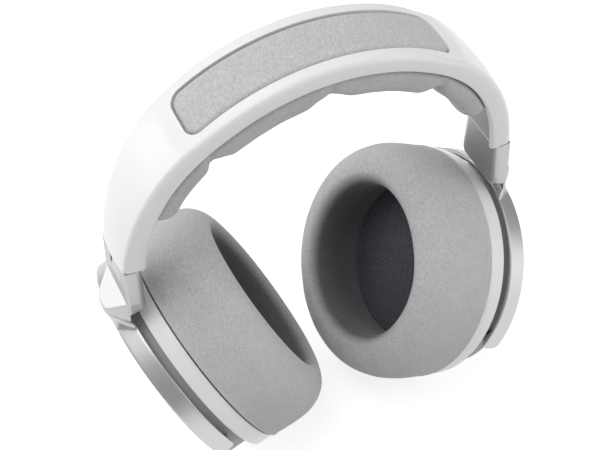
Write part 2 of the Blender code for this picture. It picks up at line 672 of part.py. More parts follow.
# --- cup ----------------------------------------------------------------------------------------
RING_FRONT = 0.4 * MM
RING_BORE = CUP_RADIUS - RING_WALL
SHOULDER_RADIUS = HOUSING_RADIUS - 1.3 * MM
SHOULDER_FRONT = RING_DEPTH - RING_SHOULDER
BAFFLE_BACK = SHOULDER_FRONT - GAP
BAFFLE_FRONT = BAFFLE_BACK - BAFFLE_THICK
PLATE_BACK = BAFFLE_FRONT - GAP
PLATE_FRONT = PLATE_BACK - PLATE_THICK
PAD_BACK = PLATE_FRONT - GAP
COVER_BACK = -COVER_INSET + COVER_THICK
HOUSING_FRONT = BAFFLE_BACK + GAP
HOUSING_BACK = BAND_BACK + 0.5 * MM
GRILLE_SEAT = HOUSING_BACK - GRILLE_THICK
GRILLE_RADIUS = HOUSING_RADIUS - 2.6 * MM
SOCKET_MIDDLE = RING_DEPTH + (BAND_BACK - RING_DEPTH) * 0.5


def build_ring():
    bevel = 0.5 * MM
    return turned("cup_ring", [
        (RING_BORE, RING_FRONT), (CUP_RADIUS - bevel, RING_FRONT),
        (CUP_RADIUS, RING_FRONT + bevel), (CUP_RADIUS, RING_DEPTH - bevel),
        (CUP_RADIUS - bevel, RING_DEPTH), (SHOULDER_RADIUS + GAP, RING_DEPTH),
        (SHOULDER_RADIUS + GAP, SHOULDER_FRONT), (RING_BORE, SHOULDER_FRONT)], 40)


def build_housing():
    step = RING_DEPTH + GAP
    shell = turned("housing", [
        (SHOULDER_RADIUS, HOUSING_FRONT), (SHOULDER_RADIUS, step), (HOUSING_RADIUS, step),
        (HOUSING_RADIUS, HOUSING_BACK - 0.6 * MM), (HOUSING_RADIUS - 0.6 * MM, HOUSING_BACK),
        (GRILLE_RADIUS + GAP, HOUSING_BACK), (GRILLE_RADIUS + GAP, GRILLE_SEAT - GAP),
        (HOUSING_INNER, GRILLE_SEAT - GAP), (HOUSING_INNER, HOUSING_FRONT)], 36)
    tools = []
    for side in (-1, 1):
        hole = rod("bush_hole_%d" % side, PIVOT_RADIUS + 2 * GAP + BUSH_WALL,
                   (side * (HOUSING_INNER - 3 * MM), 0, BAND_MIDDLE),
                   (side * (HOUSING_RADIUS + 3 * MM), 0, BAND_MIDDLE))
        tools.append(('DIFFERENCE', hole))
    tools.append(('DIFFERENCE', rod("housing_socket_hole", SOCKET_RADIUS + GAP,
                                    (0, -CUP_RADIUS, SOCKET_MIDDLE),
                                    (0, -HOUSING_INNER + 4 * MM, SOCKET_MIDDLE))))
    return combined("rear_housing", shell, tools)


def build_grille():
    """Domed disc with rings of slots, as an open surface that Solidify thickens."""
    rows_of_faces = 9
    radii = [GRILLE_HUB + (GRILLE_RADIUS - GRILLE_HUB) * k / rows_of_faces
             for k in range(rows_of_faces + 1)]
    bm = bmesh.new()
    rows = []
    for radius in radii:
        share = max(0.0, (radius - GRILLE_HUB) / (GRILLE_RADIUS - GRILLE_HUB))
        height = HOUSING_BACK + GRILLE_DOME * (1 - share ** 2)
        rows.append([bm.verts.new((radius * math.cos(math.tau * k / GRILLE_SECTORS),
                                   radius * math.sin(math.tau * k / GRILLE_SECTORS), height))
                     for k in range(GRILLE_SECTORS)])
    for row, (inside, outside) in enumerate(zip(rows, rows[1:])):
        for k in range(GRILLE_SECTORS):
            if row % 2 and (k + row // 2) % 2:
                continue
            j = (k + 1) % GRILLE_SECTORS
            bm.faces.new((inside[k], outside[k], outside[j], inside[j]))
    bm.faces.new(rows[0])
    mesh = bpy.data.meshes.new("grille")
    bm.normal_update()
    bm.to_mesh(mesh)
    bm.free()
    obj = guide("grille_sheet", mesh)
    solidify = obj.modifiers.new("thickness", 'SOLIDIFY')
    solidify.thickness = GRILLE_THICK
    solidify.offset = -1.0
    return obj


def build_cloth():
    """Acoustic cloth that lies under the grille's dome."""
    radius = HOUSING_INNER - GAP
    rings = (0.0, 0.5, 1.0)

    def height(share):
        r = radius * share
        part = max(0.0, (r - GRILLE_HUB) / (GRILLE_RADIUS - GRILLE_HUB))
        return HOUSING_BACK + GRILLE_DOME * (1 - part ** 2) - GRILLE_THICK - 2 * GAP

    upper = [(radius * k, height(k)) for k in rings]
    lower = [(radius * k, height(k) - CLOTH_THICK) for k in reversed(rings)]
    return turned("grille_cloth", upper + lower, 20)


def build_driver():
    """Baffle, driver frame, magnet, diaphragm and the fabric cover in front of them."""
    boss_out = COVER_RADIUS + 0.1 * MM
    boss_in = boss_out - 2.0 * MM
    hole = DRIVER_RADIUS + GAP
    baffle = turned("baffle", [
        (hole, BAFFLE_BACK), (RING_BORE - GAP, BAFFLE_BACK), (RING_BORE - GAP, BAFFLE_FRONT),
        (boss_out, BAFFLE_FRONT), (boss_out, COVER_BACK + GAP), (boss_in, COVER_BACK + GAP),
        (boss_in, BAFFLE_FRONT), (hole, BAFFLE_FRONT)], 24)
    flange = BAFFLE_BACK + GAP
    back = flange + 4.0 * MM
    wall = 1.4 * MM
    seat = MAGNET_RADIUS + GAP
    frame = turned("driver_frame", [
        (DRIVER_RADIUS, BAFFLE_FRONT - 0.4 * MM), (DRIVER_RADIUS, flange),
        (DRIVER_RADIUS + 3.3 * MM, flange), (DRIVER_RADIUS + 3.3 * MM, flange + wall),
        (DRIVER_RADIUS - 3.0 * MM, back), (seat, back), (seat, back - wall),
        (DRIVER_RADIUS - 4.4 * MM, back - wall), (DRIVER_RADIUS - wall, flange),
        (DRIVER_RADIUS - wall, BAFFLE_FRONT - 0.4 * MM)], 18)
    magnet_front = back - wall - 1.6 * MM
    magnet = turned("driver_magnet", [
        (0.0, magnet_front), (MAGNET_RADIUS, magnet_front),
        (MAGNET_RADIUS, magnet_front + MAGNET_DEPTH), (0.0, magnet_front + MAGNET_DEPTH)], 18)
    rim = DRIVER_RADIUS - wall - GAP
    film = 0.4 * MM
    face = [(0.0, 0.0), (rim * 0.3, 0.4 * MM), (rim * 0.42, 1.6 * MM), (rim * 0.7, 0.4 * MM),
            (rim, 1.0 * MM)]
    level = BAFFLE_FRONT - 0.2 * MM
    diaphragm = turned("driver_diaphragm",
                       [(r, level + z) for r, z in face]
                       + [(r, level + z + film) for r, z in reversed(face)], 18)
    cover = turned("driver_cover", [
        (0.0, -COVER_INSET), (COVER_RADIUS, -COVER_INSET), (COVER_RADIUS, COVER_BACK),
        (0.0, COVER_BACK)], 32)
    return baffle, frame, magnet, diaphragm, cover


def build_pad():
    """Clip plate and the soft ear pad: drawn in at the seam, crowned towards the head."""
    base = COVER_RADIUS + 1.4 * MM
    lip = CUP_RADIUS - 0.7 * MM
    plate = turned("pad_plate", [
        (base, PLATE_BACK), (RING_BORE - GAP, PLATE_BACK), (RING_BORE - GAP, RING_FRONT - GAP),
        (lip, RING_FRONT - GAP), (lip, PLATE_FRONT), (base, PLATE_FRONT)], 28)
    side = CUP_RADIUS + PAD_BULGE
    depth = PAD_DEPTH + PAD_BACK
    crown = -PAD_DEPTH
    outline = [
        (base, PAD_BACK), (CUP_RADIUS - 0.5 * MM, PAD_BACK),
        (side - 0.3 * MM, PAD_BACK - depth * 0.14), (side, PAD_BACK - depth * 0.38),
        (side - 0.6 * MM, PAD_BACK - depth * 0.62), (side - 3.0 * MM, PAD_BACK - depth * 0.82),
        (side - 7.0 * MM, PAD_BACK - depth * 0.95), (side - 11.8 * MM, crown),
        (PAD_HOLE + 3.0 * MM, crown + 0.8 * MM), (PAD_HOLE + 0.5 * MM, crown + 4.0 * MM),
        (PAD_HOLE, crown + 10.0 * MM), (PAD_HOLE + 1.5 * MM, PAD_BACK - depth * 0.33),
    ]
    pad = turned("ear_pad", outline[:1] + smooth_side(outline), 30)
    return plate, pad


def smooth_side(outline):
    """The pad's outline with one more point on the curve between each pair of its own."""
    fine = smooth_loop(outline, 2 * len(outline))
    fine[1] = ((outline[0][0] + outline[1][0]) / 2, PAD_BACK)
    fine[-1] = tuple((a + b) / 2 for a, b in zip(outline[-1], outline[0]))
    return [(r, min(z, PAD_BACK)) for r, z in fine[1:]]


def build_jack():
    """Foot block between the yoke's tips, the jack socket in it and its terminal board."""
    edge = YOKE_OPEN_ANGLE - 0.6 * MM / CUP_RADIUS
    inner = HOUSING_RADIUS + GAP
    flat = math.acos(FOOT_DEPTH / CUP_RADIUS)
    outer_angles = [-edge + (edge - flat) * k / 4 for k in range(5)]
    outer_angles += [-a for a in reversed(outer_angles)]
    inner_angles = [edge - 2 * edge * k / 10 for k in range(11)]
    outline = [(CUP_RADIUS * math.sin(a), -CUP_RADIUS * math.cos(a)) for a in outer_angles]
    outline += [(inner * math.sin(a), -inner * math.cos(a)) for a in inner_angles]
    low, high = RING_DEPTH + GAP, BAND_BACK
    block = loft("jack_block", [[(x, y, low) for x, y in outline],
                                [(x, y, high) for x, y in outline]])
    hole = rod("block_socket_hole", SOCKET_RADIUS + GAP, (0, -CUP_RADIUS - 2 * MM, SOCKET_MIDDLE),
               (0, -HOUSING_RADIUS + 2 * MM, SOCKET_MIDDLE))
    block = combined("jack_block", block, [('DIFFERENCE', hole)])
    mouth = FOOT_DEPTH - 0.3 * MM
    tail = mouth - SOCKET_LENGTH
    place = Matrix.Translation((0, 0, SOCKET_MIDDLE)) @ Matrix.Rotation(math.pi / 2, 4, 'X')
    socket = turned("jack_socket", [
        (SOCKET_BORE, mouth), (SOCKET_RADIUS, mouth), (SOCKET_RADIUS, tail), (0.0, tail),
        (0.0, tail + 1.0 * MM), (SOCKET_BORE, tail + 1.0 * MM)], 12, place)
    board = box("terminal_board", BOARD_SIZE, Matrix.Translation(
        (0, -(tail - GAP - BOARD_SIZE[1] / 2), SOCKET_MIDDLE)))
    return block, socket, board


def build_sides():
    strip, slide_guide = build_slide_parts()
    arm = build_arm()
    swivel = turned("swivel_pin", [(0.0, SWIVEL_TOP), (SWIVEL_RADIUS, SWIVEL_TOP),
                                   (SWIVEL_RADIUS, SWIVEL_FOOT), (0.0, SWIVEL_FOOT)], 14,
                    Matrix.Translation((SWIVEL_X, 0, 0)))
    yoke = build_yoke()
    pin, bush = build_pivots()
    plate, pad = build_pad()
    baffle, frame, magnet, diaphragm, cover = build_driver()
    block, socket, board = build_jack()
    cup_pieces = (
        ("cup_ring", build_ring(), "white_shell"), ("rear_housing", build_housing(), "dark_plastic"),
        ("grille", build_grille(), "grey_metal"), ("grille_cloth", build_cloth(), "charcoal_fabric"),
        ("baffle", baffle, "dark_plastic"), ("driver_frame", frame, "dark_plastic"),
        ("driver_magnet", magnet, "steel"), ("driver_diaphragm", diaphragm, "dark_plastic"),
        ("driver_cover", cover, "charcoal_fabric"), ("pad_plate", plate, "dark_plastic"),
        ("ear_pad", pad, "grey_fabric"), ("jack_block", block, "grey_plastic"),
        ("jack_socket", socket, "dark_plastic"), ("terminal_board", board, "board_green"),
    )
    screws = [screw_body("liner_screw_%d" % side, side, 1, 0.0) for side in (-1, 1)]
    for name, turn in (("right", 0.0), ("left", math.pi)):
        side = empty(name + "_side", None, Matrix.Rotation(turn, 4, 'Z'))
        slide = empty(name + "_slide_axis", side, SLIDER_FRAME)
        hinge = empty(name + "_swivel_axis", slide,
                      SLIDER_FRAME.inverted() @ Matrix.Translation((SWIVEL_X, 0, JOINT_Z)))
        tilt_place = CUP_FRAME @ Matrix.Translation((0, 0, BAND_MIDDLE))
        tilt = empty(name + "_tilt_axis", hinge,
                     Matrix.Translation((-SWIVEL_X, 0, -JOINT_Z)) @ tilt_place)

        def put(label, source, finish_name, parent, matrix):
            """Adds a piece whose mesh is drawn in a frame that sits at matrix on this side."""
            obj = piece("%s_%s" % (name, label), source, finish_name, parent)
            bpy.context.view_layer.update()
            obj.matrix_world = side.matrix_world @ matrix @ source.matrix_world

        here = Matrix.Identity(4)
        put("slide_guide", slide_guide, "dark_plastic", side, here)
        for label, screw in zip(("front", "back"), screws):
            put("liner_screw_" + label, screw, "steel", side, here)
        put("slider", strip, "steel", slide, here)
        put("arm", arm, "grey_metal", slide, here)
        put("swivel_pin", swivel, "steel", hinge, here)
        put("yoke", yoke, "satin_aluminium", hinge, CUP_FRAME)
        for label, way in (("front", -1), ("back", 1)):
            axis = CUP_FRAME @ turned_about_x(0.0, way)
            put(label + "_pivot_pin", pin, "steel", hinge, axis)
            put(label + "_pivot_bush", bush, "dark_plastic", tilt, axis)
        for label, source, finish_name in cup_pieces:
            put(label, source, finish_name, tilt, CUP_FRAME)


clear_scene()
PARTS = new_collection("headset")
GUIDES = new_collection("guides")
build_headband()
build_sides()
bpy.context.view_layer.update()
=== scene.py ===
"""Finished surfaces of an over-ear headset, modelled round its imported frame.

World frame: +X from the wearer's left to the right, +Y to the back of the head, +Z up,
metres. A cup's own frame has X to the back, Y up along the cup and Z outwards, with zero
on the seam between the ear pad and the white ring.
"""
import json
import math

import bmesh
import bpy
from mathutils import Matrix, Vector, noise
from mathutils.geometry import interpolate_bezier


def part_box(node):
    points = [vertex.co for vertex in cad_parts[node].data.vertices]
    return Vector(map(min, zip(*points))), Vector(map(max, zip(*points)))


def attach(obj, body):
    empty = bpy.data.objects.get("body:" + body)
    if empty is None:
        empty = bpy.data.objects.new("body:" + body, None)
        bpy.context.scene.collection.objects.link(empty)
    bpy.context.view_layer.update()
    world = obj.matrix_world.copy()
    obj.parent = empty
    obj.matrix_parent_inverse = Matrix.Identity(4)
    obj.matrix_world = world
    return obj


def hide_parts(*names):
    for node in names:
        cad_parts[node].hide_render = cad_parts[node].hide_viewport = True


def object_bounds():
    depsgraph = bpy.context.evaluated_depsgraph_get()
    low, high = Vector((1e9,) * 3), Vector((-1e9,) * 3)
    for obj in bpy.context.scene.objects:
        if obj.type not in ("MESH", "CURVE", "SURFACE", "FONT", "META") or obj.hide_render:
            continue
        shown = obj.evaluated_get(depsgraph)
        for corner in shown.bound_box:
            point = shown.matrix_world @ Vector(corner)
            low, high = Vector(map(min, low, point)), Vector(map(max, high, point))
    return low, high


bl_info = {
    "name": "Over-ear headset surfaces",
    "version": (1, 0, 0),
    "blender": (4, 5, 0),
    "location": "View3D > Sidebar > Headset",
    "description": "Finished shells, soft pads and metal parts of an over-ear headset",
    "category": "Object",
}

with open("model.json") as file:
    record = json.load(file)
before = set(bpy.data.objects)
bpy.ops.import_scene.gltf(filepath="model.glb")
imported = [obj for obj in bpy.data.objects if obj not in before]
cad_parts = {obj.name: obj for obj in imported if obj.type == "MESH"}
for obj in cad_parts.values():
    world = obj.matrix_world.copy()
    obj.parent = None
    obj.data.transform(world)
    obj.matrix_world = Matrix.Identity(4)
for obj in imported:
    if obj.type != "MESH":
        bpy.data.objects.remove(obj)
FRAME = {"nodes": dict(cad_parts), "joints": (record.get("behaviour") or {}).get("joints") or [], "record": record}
CAD_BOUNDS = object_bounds()
MM = 0.001
SIDES = ("right", "left")


# --- places read from the frame ---
def joint(name):
    return next(j for j in FRAME["joints"] if j["name"] == name)


def mount(name):
    return next(m for m in FRAME["record"]["mounts"] if m["name"] == name)


def high(node):
    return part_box(node)[1]


def low(node):
    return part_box(node)[0]


RING_RADIUS = high("right_cup_ring").y
BAND_RADIUS = high("right_yoke").y
PAD_RADIUS = high("right_ear_pad").y
COVER_RADIUS = high("right_driver_cover").y
HOUSING_RADIUS = high("right_rear_housing").y
CUP_OUT = Vector(mount("right_side_face")["axis"])
TILT_POINT = Vector(joint("right_tilt")["pos_m"])
SWIVEL_POINT = Vector(joint("right_swivel")["pos_m"])
SLIDE_DOWN = Vector(joint("right_slide")["axis"])
HALF_SPAN = high("headband_shell").x
ARCH_TOP = high("headband_shell").z
SHELL_END = low("headband_shell").z
HINGE_OUT = high("right_arm").x
FLOOR = CAD_BOUNDS[0].z


# --- sizes and colours that a user would change ---
def length(name, description, millimetres):
    return bpy.props.FloatProperty(name=name, description=description, unit='LENGTH',
                                   subtype='DISTANCE', default=millimetres * MM)


def colour(name, description, hex_value):
    return bpy.props.StringProperty(name=name, description=description, default=hex_value)


class HeadbandSizes(bpy.types.PropertyGroup):
    crown_handle: length("Crown handle", "Reach of the arch's curve at the crown", 34.0)
    side_handle: length("Side handle", "Reach of the arch's curve at its ends", 52.5)
    end_lean: bpy.props.FloatProperty(name="End lean", description="Outward lean of the ends",
                                      subtype='ANGLE', default=0.094)
    half_top: length("Half width at crown", "Half width of the shell over the crown", 16.3)
    half_end: length("Half width at ends", "Half width of the shell at its ends", 11.6)
    depth: length("Shell depth", "Crown line to the shell's lower edge, over the crown", 7.9)
    end_depth: length("Shell end depth", "The same at the shell's ends", 9.6)
    edge: length("Shell edge", "Radius between the outer face and the sides", 2.1)
    crown: length("Crown drop", "Drop of the outer face from its middle to its sides", 1.1)
    insert_half: length("Insert half length", "Fabric insert along the arch", 54.5)
    insert_width: length("Insert half width", "Fabric insert across the arch", 10.5)
    insert_corner: length("Insert corner", "Corner radius of the insert", 5.0)
    recess: length("Recess depth", "Depth of the insert's recess", 2.6)
    dish: length("Dish depth", "Depth of the dished rim round the insert", 1.0)
    dish_reach: length("Dish reach", "Width of the dished rim", 8.0)
    cushion_depth: length("Cushion depth", "Crown line to the cushion's middle lobes", 20.6)
    cushion_end_depth: length("Cushion end depth", "The same for its end lobes", 18.2)
    cushion_stop: length("Cushion stop", "Shell's end to the cushion's end", 25.2)
    cushion_nose: length("Cushion nose", "Length of the cushion's rounded tips", 7.5)
    cushion_channel: length("Channel place", "Crown to the two outer sewn channels", 55.0)
    shell_colour: colour("Shell colour", "Moulded white of the shell and rings", "#F4F4F4")


class CupSizes(bpy.types.PropertyGroup):
    band_front: length("Band front", "Seam plane to the yoke band's front edge", 10.15)
    band_width: length("Band width", "Yoke band along the cup's axis", 7.5)
    band_wall: length("Band wall", "Radial thickness of the yoke band", 2.0)
    ring_depth: length("Ring depth", "Seam plane to the white ring's back edge", 7.0)
    pad_depth: length("Pad depth", "Seam plane to the pad's crown", 28.9)
    pad_hole: length("Ear opening", "Narrowest radius of the ear opening", 30.9)
    cover_inset: length("Cover inset", "Driver cover in front of the seam plane", 4.7)


class HeadsetFinishes(bpy.types.PropertyGroup):
    knit_colour: colour("Knit colour", "Pads, head cushion and insert", "#C7C7C7")
    # Painted shade: this darker grey stands in for the shade deep in the ear pads' openings and in the gap round
    # the insert
    painted_shade_colour: colour("Painted shade colour", "Inner wall of the ear pads", "#6A6B6D")
    cover_colour: colour("Cover colour", "Cloth over the drivers", "#505258")
    band_colour: colour("Band colour", "Blasted aluminium of the yokes", "#C4C4C6")
    arm_colour: colour("Arm colour", "Metallic paint of the arms", "#B8B9BA")
    steel_colour: colour("Steel colour", "Pins, screws and strips", "#B9BABC")
    housing_colour: colour("Housing colour", "Housings, jack blocks and liner", "#A8A8A9")
    frame_colour: colour("Frame colour", "Frames and guides inside", "#2E2F31")
    board_colour: colour("Board colour", "Solder mask of the terminal boards", "#1E5A34")
    thread: length("Thread spacing", "Spacing of the knit's threads", 0.75)


# --- small helpers ---
def linear(hex_value):
    """An sRGB hex colour as linear RGBA."""
    parts = [int(hex_value[i:i + 2], 16) / 255 for i in (1, 3, 5)]
    return tuple(c / 12.92 if c <= 0.04045 else ((c + 0.055) / 1.055) ** 2.4
                 for c in parts) + (1.0,)


def spaced(start, stop, count):
    return [start + (stop - start) * k / (count - 1) for k in range(count)]


def both_ways(half):
    """Values on both sides of zero, from those that start at zero."""
    return [-value for value in reversed(half[1:])] + half


def eased(start, stop):
    """Values from start to stop, close together at the end, as round a quarter circle."""
    return [start + (stop - start) * math.sin(math.radians(a)) for a in range(0, 91, 6)]


def smoothstep(value):
    value = min(1.0, max(0.0, value))
    return value * value * (3 - 2 * value)


def smooth_loop(points, count):
    """A closed loop of count points on the Catmull-Rom curve through the given ones."""
    total = len(points)
    loop = []
    for k in range(count):
        place = k * total / count
        i = int(place)
        u = place - i
        a, b, c, d = (points[(i + o) % total] for o in (-1, 0, 1, 2))
        loop.append(tuple(
            0.5 * (2 * q + (r - p) * u + (2 * p - 5 * q + 4 * r - t) * u * u
                   + (3 * q - p - 3 * r + t) * u ** 3)
            for p, q, r, t in zip(a, b, c, d)))
    return loop


def shade(mesh, smooth_angle=None):
    """Smooth all over, or sharp above an angle in degrees."""
    mesh.shade_smooth()
    if smooth_angle is not None:
        mesh.set_sharp_from_angle(angle=math.radians(smooth_angle))


def mesh_object(name, bm, smooth_angle=None):
    """A new object from a bmesh."""
    mesh = bpy.data.meshes.new(name)
    bm.to_mesh(mesh)
    bm.free()
    shade(mesh, smooth_angle)
    obj = bpy.data.objects.new(name, mesh)
    bpy.context.scene.collection.objects.link(obj)
    return obj


def applied(obj):
    """The object with its modifiers applied and its place moved into its mesh."""
    bpy.context.view_layer.update()
    evaluated = obj.evaluated_get(bpy.context.evaluated_depsgraph_get())
    mesh = bpy.data.meshes.new_from_object(evaluated)
    mesh.transform(obj.matrix_world)
    mesh.name = obj.name
    obj.modifiers.clear()
    obj.matrix_world = Matrix.Identity(4)
    obj.data = mesh
    return obj


def cup_frame():
    """The right cup's frame: its origin on the seam plane, its Z outwards."""
    cups = bpy.context.scene.headset_cups
    back = Vector((0.0, 1.0, 0.0))
    up = CUP_OUT.cross(back)
    origin = TILT_POINT - CUP_OUT * (cups.band_front + cups.band_width / 2)
    frame = Matrix((back, up, CUP_OUT)).transposed().to_4x4()
    frame.translation = origin
    return frame


def dress(obj, node, body, finish):
    """Gives a piece its finish, the body it rides on and the node that it replaces."""
    obj.data.materials.clear()
    obj.data.materials.append(made_once(finish))
    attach(obj, body)
    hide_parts(node)


def on_headband(node, make, finish):
    """Makes one piece of the headband."""
    dress(applied(make(node + "_finished")), node, "headband", finish)


def both_sides(node, make, body, finish):
    """Makes a right-hand piece and, turned half round about Z, its left-hand copy."""
    right = applied(make("right_" + node + "_finished"))
    left = bpy.data.objects.new("left_" + node + "_finished", right.data.copy())
    bpy.context.scene.collection.objects.link(left)
    left.data.transform(Matrix.Rotation(math.pi, 4, 'Z'))
    for obj, side in zip((right, left), SIDES):
        dress(obj, side + "_" + node, side + "_" + body, finish)


def turned(name, profile, steps, smooth_angle=40):
    """A body turned about the cup's axis from a loop of (radius, height) points."""
    bm = bmesh.new()
    verts = [bm.verts.new((radius, 0.0, height)) for radius, height in profile]
    on_axis = [v for v in verts if v.co.x < 1e-6]
    edges = [bm.edges.new(pair) for pair in zip(verts, verts[1:])]
    if not on_axis:
        edges.append(bm.edges.new((verts[-1], verts[0])))
    bmesh.ops.spin(bm, geom=verts + edges, cent=(0, 0, 0), axis=(0, 0, 1), angle=math.tau,
                   steps=steps, use_merge=True)
    bmesh.ops.remove_doubles(bm, verts=bm.verts, dist=1e-6)
    bmesh.ops.recalc_face_normals(bm, faces=bm.faces)
    obj = mesh_object(name, bm, smooth_angle)
    obj.matrix_world = cup_frame()
    return obj


def rounded(points, radius, segments=4):
    """A closed outline with its corners rounded; a point may carry its own radius."""
    outline = []
    count = len(points)
    for i, point in enumerate(points):
        r = point[2] if len(point) > 2 else radius
        here = Vector(point[:2])
        before = Vector(points[i - 1][:2]) - here
        after = Vector(points[(i + 1) % count][:2]) - here
        if r <= 0:
            outline.append(tuple(here))
            continue
        half = before.angle(after) / 2
        cut = min(r / math.tan(half), before.length * 0.48, after.length * 0.48)
        start = here + before.normalized() * cut
        end = here + after.normalized() * cut
        for k in range(segments + 1):
            u = k / segments
            outline.append(tuple((1 - u) ** 2 * start + 2 * u * (1 - u) * here + u * u * end))
    return outline


def lofted(name, rings, smooth_angle=None):
    """A closed skin: the first ring's face is extruded from ring to ring."""
    bm = bmesh.new()
    face = bm.faces.new([bm.verts.new(point) for point in rings[0]])
    for ring in rings[1:]:
        extruded = bmesh.ops.extrude_face_region(bm, geom=[face])["geom"]
        if ring is not rings[1]:
            bmesh.ops.delete(bm, geom=[face], context='FACES_ONLY')
        face = next(item for item in extruded if isinstance(item, bmesh.types.BMFace))
        for vert, point in zip(face.verts, ring):
            vert.co = point
    bmesh.ops.recalc_face_normals(bm, faces=bm.faces)
    return mesh_object(name, bm, smooth_angle)


def tool_box(name, size, matrix):
    """A block for a Boolean."""
    bm = bmesh.new()
    bmesh.ops.create_cube(bm, size=1.0)
    bmesh.ops.scale(bm, vec=size, verts=bm.verts)
    bmesh.ops.transform(bm, matrix=matrix, verts=bm.verts)
    return mesh_object(name, bm)


def tool_rod(name, radius, start, end, segments=48):
    """A rod between two points for a Boolean."""
    start, end = Vector(start), Vector(end)
    along = end - start
    bm = bmesh.new()
    bmesh.ops.create_cone(bm, cap_ends=True, segments=segments, radius1=radius, radius2=radius,
                          depth=along.length)
    turn = along.to_track_quat('Z', 'Y').to_matrix().to_4x4()
    bmesh.ops.transform(bm, matrix=Matrix.Translation((start + end) / 2) @ turn, verts=bm.verts)
    return mesh_object(name, bm)


def add_boolean(base, operation, tool):
    boolean = base.modifiers.new(operation, 'BOOLEAN')
    boolean.operation = operation
    boolean.solver = 'EXACT'
    boolean.object = tool


def carved(base, tool):
    """The piece with a tool's space cut out of it."""
    add_boolean(base, 'DIFFERENCE', tool)
    applied(base)
    bpy.data.objects.remove(tool, do_unlink=True)
    return base


def cast(base, operations, voxel, rounds):
    """Joins and cuts with Booleans, then remeshes and relaxes, as a cast part's edges are."""
    for operation, tool in operations:
        add_boolean(base, operation, tool)
    remesh = base.modifiers.new("remesh", 'REMESH')
    remesh.mode = 'VOXEL'
    remesh.voxel_size = voxel
    relax = base.modifiers.new("relax", 'SMOOTH')
    relax.factor = 0.5
    relax.iterations = rounds
    applied(base)
    shade(base.data)
    for _, tool in operations:
        bpy.data.objects.remove(tool, do_unlink=True)
    return base


# --- finishes ---
def add_node(tree, kind, links=(), **settings):
    """Adds a node; links are (its input, a node's output), settings its values and inputs."""
    node = tree.nodes.new(kind)
    for name, value in settings.items():
        if name.startswith("in_"):
            socket = name[3:].replace("_", " ")
            key = int(socket) if socket.isdigit() else socket
            node.inputs[key].default_value = value
        else:
            setattr(node, name, value)
    for target, output in links:
        tree.links.new(output, node.inputs[target])
    return node


def new_finish(name, **values):
    """A new material, its node tree and its Principled shader with the values given."""
    material = bpy.data.materials.new(name)
    material.use_nodes = True
    tree = material.node_tree
    shader = tree.nodes["Principled BSDF"]
    for key, value in values.items():
        shader.inputs[key.replace("_", " ")].default_value = value
    return material, tree, shader


def fine_grain(tree, shader, spacing, strength, depth, **settings):
    """Fine relief on a finish; returns its noise, for what else varies with it."""
    place = add_node(tree, "ShaderNodeTexCoord")
    grain = add_node(tree, "ShaderNodeTexNoise", [("Vector", place.outputs["Object"])],
                     in_Scale=1 / spacing, **settings)
    bump = add_node(tree, "ShaderNodeBump", [("Height", grain.outputs["Fac"])],
                    in_Strength=strength, in_Distance=depth)
    tree.links.new(bump.outputs["Normal"], shader.inputs["Normal"])
    return grain


def moulded_white():
    """Painted ABS: a smooth satin-gloss white with the faintest orange peel."""
    shell_colour = bpy.context.scene.headband_sizes.shell_colour
    material, tree, shader = new_finish(
        "moulded_abs_white", Base_Color=linear(shell_colour), Roughness=0.32,
        Coat_Weight=0.25, Coat_Roughness=0.22)
    fine_grain(tree, shader, 1.2 * MM, 0.03, 0.02 * MM, in_Detail=1.0)
    return material


def knit():
    """Melange polyester knit: two crossing sets of short slanted threads, quite matt.

    The real threads are about 0.3 mm apart; they are drawn more than twice as coarse, to show.
    """
    finishes = bpy.context.scene.headset_finishes
    material, tree, shader = new_finish(
        "melange_knit", Roughness=0.92, Sheen_Weight=0.25, Sheen_Roughness=0.5,
        Specular_IOR_Level=0.15)
    place = add_node(tree, "ShaderNodeTexCoord")
    scale = 1 / finishes.thread
    threads = []
    for lean in (0.7, -0.6):
        turned_place = add_node(tree, "ShaderNodeMapping", [("Vector", place.outputs["Object"])],
                                in_Rotation=(lean, 0.4, lean), in_Scale=(1.0, 0.28, 1.0))
        threads.append(add_node(tree, "ShaderNodeTexNoise",
                                [("Vector", turned_place.outputs[0])],
                                in_Scale=scale * 1.6, in_Detail=2.5, in_Roughness=0.65))
    fleck = add_node(tree, "ShaderNodeMath", [(0, threads[0].outputs["Fac"]),
                                              (1, threads[1].outputs["Fac"])], operation='ADD')
    cloud = add_node(tree, "ShaderNodeTexNoise", [("Vector", place.outputs["Object"])],
                     in_Scale=scale * 0.12, in_Detail=2.0)
    tone = add_node(tree, "ShaderNodeMapRange", [("Value", fleck.outputs[0])],
                    in_1=0.75, in_2=1.25, in_3=0.84, in_4=1.16)
    drift = add_node(tree, "ShaderNodeMapRange", [("Value", cloud.outputs["Fac"])],
                     in_1=0.3, in_2=0.7, in_3=0.975, in_4=1.025)
    both = add_node(tree, "ShaderNodeMath", [(0, tone.outputs[0]), (1, drift.outputs[0])],
                    operation='MULTIPLY')
    # Painted shade: the knit's colour is mixed towards a darker grey where the mesh's attribute asks for it, in
    # place of the shade in the ear openings and round the insert
    painted_shade = add_node(tree, "ShaderNodeAttribute", attribute_name="painted_shade")
    base = add_node(tree, "ShaderNodeMix", [(0, painted_shade.outputs["Fac"])], data_type='RGBA',
                    in_6=linear(finishes.knit_colour), in_7=linear(finishes.painted_shade_colour))
    dyed = add_node(tree, "ShaderNodeVectorMath", [(0, base.outputs[2]),
                                                   ("Scale", both.outputs[0])], operation='SCALE')
    tree.links.new(dyed.outputs[0], shader.inputs["Base Color"])
    bump = add_node(tree, "ShaderNodeBump", [("Height", fleck.outputs[0])],
                    in_Strength=0.5, in_Distance=0.12 * MM)
    tree.links.new(bump.outputs["Normal"], shader.inputs["Normal"])
    return material


